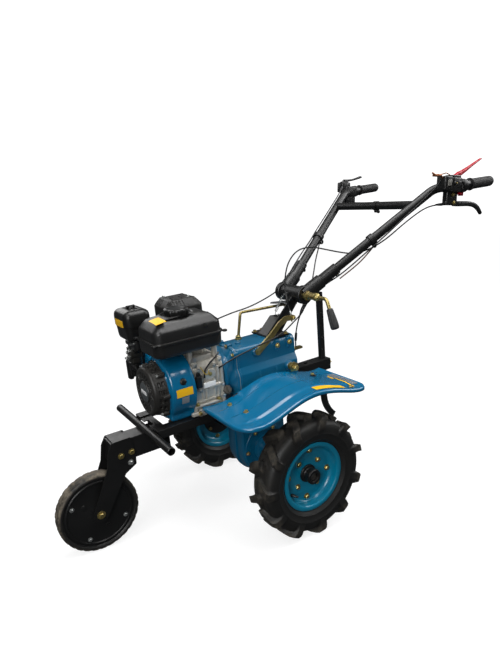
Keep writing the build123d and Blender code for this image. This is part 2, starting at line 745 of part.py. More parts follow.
def handlebar_column():
    """Left cheek up to the pivot barrel, right cheek and web below it, foot plate and gate plate."""
    inner = COLUMN_HALF - COLUMN_WALL
    cheeks = column_post() - block((-400, 300), (-inner, inner), (0, 1000))
    cheeks -= block((-400, 300), (-COLUMN_HALF - 1, 0), (COLUMN_WEB_TOP, 1000))
    cross = disc(PIVOT_X, PIVOT_Z, PIVOT_BARREL_RADIUS, (-PIVOT_BARREL_HALF, PIVOT_BARREL_HALF))
    bore = disc(PIVOT_X, PIVOT_Z, PIVOT_BOLT_RADIUS + FIT_GAP, (-200, 200))
    return column_foot() + cheeks + column_web() + selector_plate() + cross - bore


def selector_plate():
    """Level gate plate on the left cheek's inner face, over the selector rod's end."""
    low, high = GATE_PLATE_Z
    outline = Polyline(*[(x, y, low) for x, y in GATE_PLATE], close=True)
    return extrude(make_face(outline), high - low)


def pivot_bolt():
    """Clamp bolt through the barrel and both ears."""
    return disc(PIVOT_X, PIVOT_Z, PIVOT_BOLT_RADIUS, (-EAR_OUTER - 8, EAR_OUTER + 8))


def handle_arm(side):
    """Ear on the pivot bolt that becomes a socket for the handle tube."""
    ear = disc(PIVOT_X, PIVOT_Z, EAR_RADIUS, (side * EAR_INNER, side * EAR_OUTER))
    centre = (PIVOT_X, side * (EAR_INNER + EAR_OUTER) / 2, PIVOT_Z)
    end = Vector(*moved_from(SOCKET_END, side))
    along = handle_direction(side)
    knee = end - along * (SOCKET_DEPTH + 12)
    socket = tube_path([centre, tuple(knee), tuple(end)], SOCKET_BEND, TUBE_RADIUS + SOCKET_WALL)
    socket -= rod(tuple(end - along * SOCKET_DEPTH), tuple(end + along), TUBE_RADIUS + FIT_GAP)
    bolt_hole = disc(PIVOT_X, PIVOT_Z, PIVOT_BOLT_RADIUS + FIT_GAP, (-200, 200))
    inner_cut = disc(PIVOT_X, PIVOT_Z, EAR_RADIUS + 30, (side * EAR_INNER, -side * 200))
    outer_cut = disc(PIVOT_X, PIVOT_Z, EAR_RADIUS, (side * EAR_OUTER, side * 200))
    return ear + socket - bolt_hole - inner_cut - outer_cut


def handle_direction(side):
    """Unit vector up the straight stretch of a handle tube."""
    top = Vector(*moved_from(CROSSBAR_JOINT, side))
    return (top - Vector(*moved_from(SOCKET_END, side))).normalized()


def handle_tube(side, radius=TUBE_RADIUS):
    """Handle tube from its socket up to the grip, bent outwards near its top."""
    along = handle_direction(side)
    foot = Vector(*moved_from(SOCKET_END, side)) - along * (SOCKET_DEPTH - FIT_GAP)
    elbow = Vector(*moved_from(CROSSBAR_JOINT, side)) + along * HANDLE_STRAIGHT
    points = [tuple(foot), tuple(elbow), moved_from(GRIP_START, side), moved_from(GRIP_END, side)]
    return tube_path(points, [BEND_RADIUS, BEND_RADIUS / 2], radius)


def crossbar():
    """Bar between the two handle tubes."""
    x, y, z = CROSSBAR_JOINT
    bar = rod((x, -y, z), (x, y, z), CROSSBAR_RADIUS)
    return bar - handle_tube(1) - handle_tube(-1)


def grip(side):
    """Rubber grip over the end of the handle tube."""
    start, end = moved_from(GRIP_START, side), moved_from(GRIP_END, side)
    reach = (Vector(*end) - Vector(*start)).normalized()
    first = Vector(*start) + reach * 32
    last = Vector(*end) + reach * 8
    sleeve = rod(tuple(first), tuple(last), TUBE_RADIUS + GRIP_WALL)
    hole = rod(tuple(first - reach), end, TUBE_RADIUS + FIT_GAP)
    return sleeve - hole


def left_control():
    """Switch and red-lever housing round the left tube, with the clutch bracket below it."""
    housing = fillet(block(CONTROL_X, CONTROL_Y, CONTROL_Z).edges().filter_by(Axis.X), 8)
    housing += block(BRACKET_X, BRACKET_Y, (BRACKET_FLOOR, CONTROL_Z[0] + 5))
    return housing - handle_tube(1, TUBE_RADIUS + FIT_GAP)


def clutch_lever(gap=FIT_GAP):
    """Left hand lever: it leaves the bracket level and curves down at its end."""
    start = BRACKET_X[0] - gap
    outline = [
        (start, BRACKET_FLOOR + 18),
        (start, BRACKET_FLOOR),
        (-770, 841),
        (-820, 839),
        (-846, 827),
        (-864, 811),
        (-872, 817),
        (-852, 842),
        (-824, 859),
        (-770, 863),
    ]
    return side_plate(outline, LEVER_Y)


def red_lever():
    """Red lever that stands on the housing and rises to the rear."""
    foot = CONTROL_Z[1] + FIT_GAP
    outline = [
        (-680, foot),
        (-719, 962),
        (-784, 997),
        (-842, 1021),
        (-846, 1014),
        (-786, 984),
        (-750, 963),
        (CONTROL_X[0], foot),
    ]
    return side_plate(outline, LEVER_Y)


def right_control():
    """Clamp and bracket of the right hand lever, and the throttle's box, on the right tube."""
    y = (-CONTROL_Y[1], -CONTROL_Y[0])
    clamp = block((BRACKET_X[0] - 6, BRACKET_X[1] + 6), y, (CONTROL_Z[0], CLAMP_TOP))
    clamp = fillet(clamp.edges().filter_by(Axis.X), 8)
    bracket_z = (BRACKET_FLOOR + 12, CONTROL_Z[0] + 5)
    clamp += block(BRACKET_X, (-BRACKET_Y[1], -BRACKET_Y[0]), bracket_z)
    throttle = block(THROTTLE_X, (y[0] + 8, y[1] - 8), THROTTLE_Z)
    return clamp + throttle - handle_tube(-1, TUBE_RADIUS + FIT_GAP)


def reverse_lever():
    """Right hand lever, like the left one."""
    return Pos(0, 0, 6) * mirrored(clutch_lever())


def throttle_lever():
    """Thin lever on top of the throttle's box."""
    foot = THROTTLE_Z[1] + FIT_GAP
    outline = [
        (-640, foot),
        (-640, foot + 5),
        (-700, foot + 9),
        (-742, foot + 22),
        (-745, foot + 16),
        (-704, foot + 4),
        (-668, foot),
    ]
    return mirrored(side_plate(outline, THROTTLE_LEVER_Y))


def selector():
    """Post on the gearbox and rod to the column that pass the gear choice on."""
    y = -(COLUMN_HALF + SELECTOR_ASIDE + SELECTOR_RADIUS)
    x, foot = SELECTOR_X, GEARBOX_TOP + 4
    points = [(x, y, foot), (x - 18, y, SELECTOR_TOP), (-196, y, SELECTOR_TOP - 8)]
    rod_part = tube_path(points, SELECTOR_RADIUS + 3, SELECTOR_RADIUS)
    return rod_part + rod((x, y, GEARBOX_TOP), (x, y, foot + 4), SELECTOR_RADIUS + 4)


def release_lever():
    """Flat zinc lever: round foot on a boss, rising and curving level to its cable eye."""
    x, z = RELEASE_LEVER_FOOT
    eye_x, eye_z = RELEASE_LEVER_HOLE
    y = (GEARBOX_HALF_WIDTH + 4, GEARBOX_HALF_WIDTH + 4 + RELEASE_LEVER_METAL)
    outline = [
        (x + 9, z + 7),
        (-45, 419),
        (-88, 455),
        (-115, 467),
        (eye_x, eye_z + 9),
        (eye_x, eye_z - 9),
        (-121, 448),
        (-91, 434),
        (-52, 397),
        (x - 10, z - 7),
    ]
    plate = side_plate(outline, y) + disc(x, z, 12, y) + disc(eye_x, eye_z, 9, y)
    pin = disc(eye_x, eye_z, RELEASE_PIN_RADIUS, (y[0] - 12, y[1]))
    return plate + pin + disc(x, z, 9, (GEARBOX_HALF_WIDTH, y[0]))


def side_shaft():
    """Left shaft end that stands out of the gearbox over the mudguard."""
    skirt = GEARBOX_SKIRT_HALF
    shaft = disc(SIDE_SHAFT_X, SIDE_SHAFT_Z, 8, (skirt, SIDE_SHAFT_END))
    return shaft + disc(SIDE_SHAFT_X, SIDE_SHAFT_Z, 13, (skirt, skirt + 14))


def shift_arms():
    """Both shaft ends, and the short arm on the rear face that the reverse cable pulls."""
    end_x, y = REVERSE_ARM_END
    boss = barrel(y, REVERSE_ARM_Z, 9, (-184, GEARBOX_REAR))
    arm = block((end_x, -170), (y - 9, y + 9), (REVERSE_ARM_Z - 4, REVERSE_ARM_Z + 4))
    return Compound([side_shaft(), mirrored(side_shaft()), boss + arm])


def return_spring():
    """Spring in front of the column, hooked to the barrel and to the front web."""
    top, low = (SPRING_TOP[0], 0, SPRING_TOP[1]), (SPRING_LOW[0], 0, SPRING_LOW[1])
    edge = column_web().bounding_box()
    web = (web_edge_x(), 0, edge.max.Z + HOOK_RADIUS)
    barrel_front = (PIVOT_X + PIVOT_BARREL_RADIUS + FIT_GAP, 0, PIVOT_Z - 4)
    coil = rod(top, low, SPRING_RADIUS)
    return coil + rod(top, barrel_front, HOOK_RADIUS) + rod(low, web, HOOK_RADIUS)


def web_edge_x():
    """Middle of the web's top edge, along X."""
    box = (column_web() & block((-300, 300), (-5, 5), (COLUMN_WEB_TOP - 1, COLUMN_WEB_TOP))).bounding_box()
    return (box.min.X + box.max.X) / 2


def lock_crank():
    """Crank on the pivot bolt's end that clamps the arms, with a sleeve for the hand."""
    sleeve = disc(PIVOT_X, PIVOT_Z, 13, (EAR_OUTER + 8, CRANK_SLEEVE_END))
    start = Vector(*CRANK_GRIP_START)
    along = (Vector(*CRANK_GRIP_END) - start).normalized()
    path = [(PIVOT_X, CRANK_SLEEVE_END, PIVOT_Z), tuple(start - along * CRANK_DROP), CRANK_GRIP_START]
    return sleeve + tube_path(path, [20], 6.5)


def crank_grip():
    """Sleeve on the end of the lock crank."""
    return rod(CRANK_GRIP_START, CRANK_GRIP_END, 14)


def hitch():
    """Rear hitch bar with a vertical pin hole, and the socket that guides the depth stake."""
    rear = STAKE_X - STAKE_DEPTH / 2 - 11
    bar = block((rear, GEARBOX_REAR), (-HITCH_HALF, HITCH_HALF), HITCH_Z)
    pin = Pos(HITCH_PIN_X, 0, sum(HITCH_Z) / 2) * Cylinder(HITCH_PIN_RADIUS, 80)
    guide = stake_space(STAKE_GAP)
    pad = block((GEARBOX_REAR - 10, GEARBOX_REAR), (-45, 45), (HITCH_Z[0], GEARBOX_FLOOR + 22))
    link = block((GEARBOX_REAR, -FINAL_DRIVE_RADIUS), (-30, 30), (HITCH_Z[0], GEARBOX_FLOOR))
    return bar + pad + link - pin - guide


def stake_space(gap):
    """Straight square passage of the stake, with a gap all round."""
    half_x, half_y = STAKE_DEPTH / 2 + gap, STAKE_WIDTH / 2 + gap
    return block((STAKE_X - half_x, STAKE_X + half_x), (-half_y, half_y), (0, 700))


def depth_stake():
    """Square bar with adjusting holes and a foot that curves to the rear."""
    half = STAKE_DEPTH / 2
    x, z, half_y = STAKE_X, STAKE_STRAIGHT_END, STAKE_WIDTH / 2
    bar = block((x - half, x + half), (-half_y, half_y), (z, STAKE_TOP))
    foot_path = ThreePointArc((x, 0, z), (x - 12, 0, z - 57), (x - 46, 0, z - 102))
    square = Plane(origin=foot_path @ 0, z_dir=foot_path % 0, x_dir=(1, 0, 0))
    stake = bar + sweep(square * Rectangle(STAKE_DEPTH, STAKE_WIDTH), path=foot_path)
    count = int((STAKE_TOP - STAKE_STRAIGHT_END) // STAKE_HOLE_PITCH)
    for step in range(count):
        z = STAKE_TOP - 30 - step * STAKE_HOLE_PITCH
        stake -= disc(STAKE_X, z, STAKE_HOLE_RADIUS, (-50, 50))
    return stake


def stake_screw():
    """Clamp screw in the back of the socket that holds the stake at its height."""
    z = sum(HITCH_Z) / 2
    wall = STAKE_X - STAKE_DEPTH / 2 - 11
    head = barrel(0, z, 10, (wall - 9, wall))
    return head


def add(name, solid):
    """Keep a piece under its node name."""
    pieces[name] = solid


for side, word in ((1, "left"), (-1, "right")):
    for part_name, solid in zip(("tyre", "rim", "hub", "axle"), drive_wheel(side)):
        add(f"{word}_{part_name}", solid)
for part_name, solid in zip(("front_tyre", "front_disc"), front_wheel()):
    add(part_name, Pos(FRONT_WHEEL_X, 0, FRONT_WHEEL_RADIUS - DRIVE_TYRE_RADIUS) * solid)

machine_pieces = {
    "gearbox": gearbox(),
    "clutch_housing": clutch_housing(),
    "final_drive": final_drive(),
    "axle_housings": Compound([axle_housing(), mirrored(axle_housing())]),
    "engine_block": engine_block(),
    "cylinder_head": cylinder_head(),
    "fan_shroud": fan_shroud(),
    "recoil_starter": recoil_starter(),
    "fuel_tank": fuel_tank(),
    "fuel_cap": fuel_cap(),
    "air_cleaner": air_cleaner(),
    "carburettor": carburettor(),
    "muffler": muffler(),
    "frame_rails": Compound([frame_rail(), mirrored(frame_rail())]),
    "cross_plate": cross_plate(),
    "bumper_bar": bumper_bar(),
    "tow_arm": tow_arm(),
    "front_fork": front_fork(),
    "front_axle_bolt": front_axle_bolt(),
    "left_mudguard": mudguard(),
    "right_mudguard": mirrored(mudguard()),
    "guard_brackets": Compound([guard_straps(), mirrored(guard_straps())]),
    "hitch": hitch(),
    "depth_stake": depth_stake(),
    "stake_screw": stake_screw(),
    "selector": selector(),
    "release_lever": release_lever(),
    "shift_arms": shift_arms(),
}
for name, solid in machine_pieces.items():
    add(name, PITCHED * solid)

add("handlebar_column", handlebar_column())
add("pivot_bolt", pivot_bolt())
add("return_spring", return_spring())
add("crossbar", crossbar())
add("grips", Compound([grip(1), grip(-1)]))
add("lock_crank", lock_crank())
add("crank_grip", crank_grip())
add("left_control", left_control())
add("right_control", right_control())
add("clutch_lever", clutch_lever())
add("reverse_lever", reverse_lever())
add("red_lever", red_lever())
add("throttle_lever", throttle_lever())
add("throttle_cable", cable(THROTTLE_CABLE, "throttle_cable"))
add("clutch_cable", cable(CLUTCH_CABLE, "clutch_cable"))
add("reverse_cable", cable(REVERSE_CABLE, "reverse_cable"))
add("stop_wire", cable(STOP_WIRE, "stop_wire"))
for side, word in ((1, "left"), (-1, "right")):
    add(f"{word}_arm", handle_arm(side))
    add(f"{word}_handle", handle_tube(side))

boxes = [solid.bounding_box() for solid in pieces.values()]
low = [min(tuple(box.min)[axis] for box in boxes) for axis in range(3)]
high = [max(tuple(box.max)[axis] for box in boxes) for axis in range(3)]
to_origin = Pos(-(low[0] + high[0]) / 2, -(low[1] + high[1]) / 2, -low[2])
os.makedirs("parts", exist_ok=True)
for name, solid in pieces.items():
    export_step(to_origin * solid, f"parts/{name}.step")
print("moved to the origin by", to_origin.position, "from", low, "to", high)
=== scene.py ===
"""Looks of a walk-behind two-wheel tractor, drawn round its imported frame.

Lengths are millimetres from the middle of the drive axle, X forward, Y to the machine's left.
The body of the machine is drawn level and pitched about the axle; wheels and handlebar stand.
"""
import json
import math

import bmesh
import bpy
import numpy as np
from mathutils import Matrix, Vector


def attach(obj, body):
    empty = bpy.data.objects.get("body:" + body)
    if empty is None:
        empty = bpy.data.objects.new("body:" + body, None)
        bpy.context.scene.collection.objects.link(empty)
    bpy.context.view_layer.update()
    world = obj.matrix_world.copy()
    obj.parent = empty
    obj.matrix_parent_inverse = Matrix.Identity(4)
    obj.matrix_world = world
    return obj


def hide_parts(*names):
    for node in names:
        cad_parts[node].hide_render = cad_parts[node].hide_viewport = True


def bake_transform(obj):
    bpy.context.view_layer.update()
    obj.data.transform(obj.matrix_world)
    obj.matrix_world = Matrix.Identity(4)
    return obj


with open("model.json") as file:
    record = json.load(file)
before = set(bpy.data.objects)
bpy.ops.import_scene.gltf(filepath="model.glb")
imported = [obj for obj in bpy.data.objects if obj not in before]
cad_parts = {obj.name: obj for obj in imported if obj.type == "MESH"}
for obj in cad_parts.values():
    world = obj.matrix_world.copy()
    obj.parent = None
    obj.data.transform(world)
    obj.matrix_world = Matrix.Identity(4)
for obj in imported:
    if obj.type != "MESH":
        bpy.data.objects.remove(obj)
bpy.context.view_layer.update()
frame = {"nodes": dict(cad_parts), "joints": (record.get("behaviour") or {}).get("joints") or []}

joints = {joint["name"]: joint for joint in frame["joints"]}
AXLE = np.array(joints["left_wheel_spin"]["pos_m"]) * (1, 0, 1)
LEAN = joints["stake_height"]["axis"]
PITCH = np.array([[LEAN[2], 0, LEAN[0]], [0, 1, 0], [-LEAN[0], 0, LEAN[2]]])

TRACK = 291.0
AXLE_HEIGHT = 203.0
CRANK_Z = 315.0
FRONT_X = 600.0
FRONT_RADIUS = 127.0
FRONT_Z = FRONT_RADIUS - AXLE_HEIGHT
PIVOT_X, PIVOT_Z = -164.0, 540.0
PIPE_RADIUS = 16.0
FORWARD, REARWARD, LEFT, RIGHT, UP = (1, 0, 0), (-1, 0, 0), (0, 1, 0), (0, -1, 0), (0, 0, 1)

CAST_CREASE = 30
TURNED_CREASE = 28
BOLT_CREASE = 25
SOFT_CREASE = 50
CURVED_CREASE = 60


def standing(points):
    """Places as the machine stands, in metres of the frame."""
    return np.asarray(points, float) / 1000 + AXLE


def pitched(points):
    """Places on the level machine, turned with it and given in metres of the frame."""
    return np.asarray(points, float) @ PITCH.T / 1000 + AXLE


# Surfaces


class Form:
    """Points in millimetres and the faces between them."""

    def __init__(self, points=(), faces=()):
        self.points = np.asarray(points, float).reshape(-1, 3)
        self.faces = list(faces)

    def __add__(self, other):
        shift = len(self.points)
        moved = [[i + shift for i in face] for face in other.faces]
        return Form(np.vstack((self.points, other.points)), self.faces + moved)

    def at(self, x=0.0, y=0.0, z=0.0):
        return Form(self.points + (x, y, z), self.faces)

    def lie(self, order):
        """The same form with its axes taken in another order, such as "yxz"."""
        return Form(self.points[:, ["xyz".index(axis) for axis in order]], self.faces)

    def turn(self, degrees, axis="X"):
        matrix = np.array(Matrix.Rotation(math.radians(degrees), 3, axis))
        return Form(self.points @ matrix.T, self.faces)

    def stretch(self, x=1.0, y=1.0, z=1.0):
        return Form(self.points * (x, y, z), self.faces)

    def aim(self, place, direction):
        """Foot at a place, with the form's own Y axis along a direction."""
        turn = Vector((0, 1, 0)).rotation_difference(Vector(direction)).to_matrix()
        return Form(self.points @ np.array(turn).T + np.asarray(place, float), self.faces)


def joined(forms):
    total = Form()
    for form in forms:
        total = total + form
    return total


def both(form):
    """A form and its mirror image on the machine's other side."""
    return form + form.stretch(y=-1)


def skin(rows, around=True, caps=(True, True)):
    """Quads between each row of points and the next; the end rows may be closed."""
    rows = np.asarray(rows, float)
    index = np.arange(rows.shape[0] * rows.shape[1]).reshape(rows.shape[:2])
    low, high = index[:-1], index[1:]
    if around:
        corners = (low, np.roll(low, -1, 1), np.roll(high, -1, 1), high)
    else:
        corners = (low[:, :-1], low[:, 1:], high[:, 1:], high[:, :-1])
    faces = np.stack(corners, -1).reshape(-1, 4).tolist()
    faces += [index[0].tolist()[::-1]] if caps[0] else []
    faces += [index[-1].tolist()] if caps[1] else []
    return Form(rows.reshape(-1, 3), faces)


def open_skin(rows):
    """A skin whose sides and ends stay open."""
    return skin(rows, around=False, caps=(False, False))


def full_turn(steps):
    """Angles spaced evenly round one turn."""
    return np.linspace(0, 2 * math.pi, steps, endpoint=False)


def lathe(profile, steps=64, closed=False, wave=None):
    """Profile of (radius, reach) turned about Y: x is r cos a, z is r sin a, y the reach."""
    profile = np.array(list(profile) + ([profile[0]] if closed else []), float)
    turn = full_turn(steps)
    radius = profile[:, :1] * np.ones(steps)
    if wave is not None:
        radius = wave(radius, turn)
    reach = profile[:, 1:] * np.ones(steps)
    rows = np.stack((radius * np.cos(turn), reach, radius * np.sin(turn)), -1)
    return skin(rows, caps=(not closed, not closed))


def upright(profile, x, y, z=0.0, steps=32, wave=None):
    """A profile turned about Z instead, at a place."""
    return lathe(profile, steps, wave=wave).lie("xzy").at(x, y, z)


def facing_forward(profile, x, y, z, steps=20):
    """A profile turned about X instead, at a place."""
    return lathe(profile, steps).lie("yxz").at(x, y, z)


def with_mirror(profile):
    """Half a profile and its mirror image, back to where it began."""
    return profile + [(radius, -reach) for radius, reach in profile[::-1]]


def arc_path(corners, radii, steps=7, closed=False):
    """Straight runs joined by arcs that touch both runs, as points along the whole path."""
    corners = [np.asarray(c, float) for c in corners]
    count = len(corners)
    radii = [radii] * count if np.isscalar(radii) else list(radii)
    if not closed:
        radii = [0] + (radii if len(radii) == count - 2 else radii[1:-1]) + [0]
    points = []
    for i, (corner, radius) in enumerate(zip(corners, radii)):
        if radius == 0:
            points.append(corner)
            continue
        back, on = corners[i - 1] - corner, corners[(i + 1) % count] - corner
        back, on = back / np.linalg.norm(back), on / np.linalg.norm(on)
        half = math.acos(np.clip(back @ on, -1, 1)) / 2
        middle = (back + on) / np.linalg.norm(back + on)
        centre = corner + middle * radius / math.sin(half)
        cross = corner + back * radius / math.tan(half) - centre
        side = corner + on * radius / math.tan(half) - centre
        share = np.linspace(0, 1, steps)[:, None]
        swing = math.pi - 2 * half
        blend = cross * np.sin((1 - share) * swing) + side * np.sin(share * swing)
        points.extend(centre + blend / math.sin(swing))
    return np.array(points)


def tube(path, radius, sides=20, caps=(True, True)):
    """Circle carried along a path, in frames that turn no more than the path does."""
    path = np.asarray(path, float)
    ahead = np.gradient(path, axis=0)
    ahead /= np.linalg.norm(ahead, axis=1)[:, None]
    seed = np.eye(3)[np.argmin(np.abs(ahead[0]))]
    side = [np.cross(ahead[0], seed)]
    for before, now in zip(ahead, ahead[1:]):
        turned = side[-1] - now * (side[-1] @ now)
        side.append(turned)
    side = np.array(side) / np.linalg.norm(side, axis=1)[:, None]
    over = np.cross(ahead, side)
    turn = full_turn(sides)[None, :, None]
    radius = np.broadcast_to(np.asarray(radius, float), len(path))[:, None, None]
    ring = np.cos(turn) * side[:, None] + np.sin(turn) * over[:, None]
    return skin(path[:, None] + ring * radius, caps=caps)


def bar(start, end, radius, ease=1.0, sides=24):
    """Round bar between two points, with its end edges eased."""
    start, end = np.asarray(start, float), np.asarray(end, float)
    length = np.linalg.norm(end - start)
    share = np.array([0, ease, length - ease, length]) / length
    path = start + share[:, None] * (end - start)
    return tube(path, np.array([radius - ease, radius, radius, radius - ease]), sides)


def rod(points, bend, radius, sides=10, steps=7):
    """Round wire, hose or rod through points, with arcs of one radius at its bends."""
    return tube(arc_path(points, bend, steps), radius, sides)


def inset(ring, amount):
    """A closed outline moved inwards by an amount, along its own normals."""
    ahead = np.roll(ring, -1, 0) - np.roll(ring, 1, 0)
    ahead /= np.maximum(np.linalg.norm(ahead, axis=1), 1e-9)[:, None]
    area = np.sum(ring[:, 0] * np.roll(ring[:, 1], -1) - np.roll(ring[:, 0], -1) * ring[:, 1])
    inward = np.stack((-ahead[:, 1], ahead[:, 0]), -1) * np.sign(area)
    return ring + inward * amount


def at_height(ring, height):
    """An outline of flat points, all given one height."""
    return np.column_stack((ring, np.full(len(ring), float(height))))


def stack(ring, levels, order="xyz"):
    """An outline carried through levels of (height, inset); order says which axes it lies on."""
    rows = [at_height(inset(ring, amount), height) for height, amount in levels]
    return skin(rows).lie(order)


def rounded(x, y, radius, steps=6):
    """Outline of a rectangle between two ends on each axis, with round corners."""
    corners = [(x[0], y[0]), (x[1], y[0]), (x[1], y[1]), (x[0], y[1])]
    return arc_path(corners, radius, steps, closed=True)


def eased(height, ease, steps=3):
    """Levels of a slab between two heights whose edges are quarter rounds."""
    turn = np.linspace(0, math.pi / 2, steps + 1)
    low = [(height[0] + ease * (1 - math.sin(a)), ease * (1 - math.cos(a))) for a in turn[::-1]]
    high = [(height[1] - ease * (1 - math.sin(a)), ease * (1 - math.cos(a))) for a in turn]
    return low + high


def box(x, y, z, corner=4.0, ease=1.5, order="xyz"):
    """Block with upright edges of one radius and eased top and bottom edges."""
    return stack(rounded(x, y, corner), eased(z, ease), order)


def boxes(*rows):
    """Blocks side by side, each given by the values that box takes."""
    return joined(box(*row) for row in rows)


def plate(corners, y, radius=0.0, ease=0.6):
    """Flat plate with its outline in XZ, between two places on Y."""
    ring = arc_path(corners, radius, 5, closed=True) if radius else np.array(corners, float)
    return stack(ring, eased(y, ease, 2), "xzy")


def bolt(size, height, washer=1.35, sides=6):
    """Hexagon head with a chamfered top, standing on a washer, along its own Y."""
    turn = full_turn(sides)
    levels = ((1.0, 0), (1.0, height * 0.8), (0.84, height), (0.0, height))
    head = [[(size * k * math.cos(a), h, size * k * math.sin(a)) for a in turn] for k, h in levels]
    form = skin(head, caps=(True, False))
    if washer:
        thick = height * 0.22
        ring = [(0, -thick), (size * washer, -thick), (size * washer, thick * 0.4), (size, thick)]
        form = form.at(y=thick) + lathe(ring + [(0, thick)], 16)
    return form


def bolts(places, direction, size=6.0, height=5.0, washer=1.35):
    return joined(bolt(size, height, washer).aim(place, direction) for place in places)


def ring_places(centre, radius, count, start=0.0):
    """Places spaced evenly round a circle in XZ about a centre."""
    turn = np.radians(start) + np.arange(count) * 2 * math.pi / count
    x, y, z = centre
    return np.stack((x + radius * np.cos(turn), turn * 0 + y, z + radius * np.sin(turn)), -1)


def smooth(low, high, value):
    """Smooth step from 0 at low to 1 at high."""
    t = np.clip((value - low) / (high - low), 0, 1)
    return t * t * (3 - 2 * t)


FORM_MERGE = 2e-6
NODE_MERGE = 1e-5
FLAT_ANGLE, SHARP_ANGLE, EASED_ANGLE = (math.radians(degrees) for degrees in (0.6, 30, 32))


def build(name, form, finish, place, attribute=None, crease=35):
    """A mesh object of a form, with faces turned outwards and creases kept sharp."""
    mesh = bpy.data.meshes.new(name)
    mesh.from_pydata(place(form.points).tolist(), [], form.faces)
    if attribute is not None:
        layer = mesh.attributes.new(attribute[0], "FLOAT", "POINT")
        layer.data.foreach_set("value", np.asarray(attribute[1], np.float32).ravel())
    work = bmesh.new()
    work.from_mesh(mesh)
    bmesh.ops.remove_doubles(work, verts=work.verts, dist=FORM_MERGE)
    bmesh.ops.recalc_face_normals(work, faces=work.faces)
    work.to_mesh(mesh)
    work.free()
    mesh.shade_smooth()
    mesh.set_sharp_from_angle(angle=math.radians(crease))
    mesh.materials.append(finish)
    shape = bpy.data.objects.new(name, mesh)
    bpy.context.scene.collection.objects.link(shape)
    return shape


def piece(
    name, form, finish, slot, body="machine", place=pitched, stands_for=(), attribute=None,
    crease=35,
):
    """A finished piece that rides on a body and may stand for nodes of the frame."""
    shape = build(name, form, finish, place, attribute, crease)
    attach(shape, body)
    if stands_for:
        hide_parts(*([stands_for] if isinstance(stands_for, str) else stands_for))
    return shape


def fasteners(name, form, finish=None, **options):
    """Bolts, nuts and small plated parts, yellow unless a finish is given."""
    return piece(name, form, finish or GOLD, "zinc", crease=BOLT_CREASE, **options)


def casting(name, form, stands_for=()):
    """A painted casting of the drive."""
    return piece(name, form, CAST_BLUE, "blue_paint", stands_for=stands_for, crease=CAST_CREASE)


def softened(node, finish, body="machine", ease=1.0):
    """A copy of a node with merged corners and eased edges, which stands for the node."""
    mesh = frame["nodes"][node].data.copy()
    work = bmesh.new()
    work.from_mesh(mesh)
    bmesh.ops.remove_doubles(work, verts=work.verts, dist=NODE_MERGE)
    bmesh.ops.dissolve_limit(work, angle_limit=FLAT_ANGLE, verts=work.verts, edges=work.edges)
    bmesh.ops.recalc_face_normals(work, faces=work.faces)
    work.to_mesh(mesh)
    work.free()
    mesh.materials.clear()
    mesh.materials.append(finish)
    mesh.shade_smooth()
    mesh.set_sharp_from_angle(angle=SHARP_ANGLE)
    shape = bpy.data.objects.new(f"{node}_eased", mesh)
    bpy.context.scene.collection.objects.link(shape)
    edge = shape.modifiers.new("edges", "BEVEL")
    edge.width = ease / 1000
    edge.segments = 2
    edge.limit_method = "ANGLE"
    edge.angle_limit = EASED_ANGLE
    edge.harden_normals = True
    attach(shape, body)
    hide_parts(node)
    return shape


# Finishes


class Value:
    """A shader socket that takes part in arithmetic; each operator adds a Math node."""

    def __init__(self, socket):
        self.socket = socket

    def math(self, operation, *others):
        node = self.socket.id_data.nodes.new("ShaderNodeMath")
        node.operation = operation
        for place, value in zip(node.inputs, (self, *others)):
            feed(place, value)
        return Value(node.outputs[0])

    def __add__(self, other):
        return self.math("ADD", other)

    def __sub__(self, other):
        return self.math("SUBTRACT", other)

    def __mul__(self, other):
        return self.math("MULTIPLY", other)

    def __rsub__(self, other):
        return (self * -1).math("ADD", other)

    __radd__, __rmul__ = __add__, __mul__

    def between(self, low, high):
        """0 at low, 1 at high, and clamped outside them."""
        node = self.socket.id_data.nodes.new("ShaderNodeMapRange")
        node.interpolation_type = "SMOOTHSTEP"
        for place, value in zip(node.inputs, (self, low, high)):
            feed(place, value)
        return Value(node.outputs[0])


def feed(place, value):
    """A link into a socket, or its own value."""
    if isinstance(value, Value):
        place.id_data.links.new(value.socket, place)
    else:
        place.default_value = value


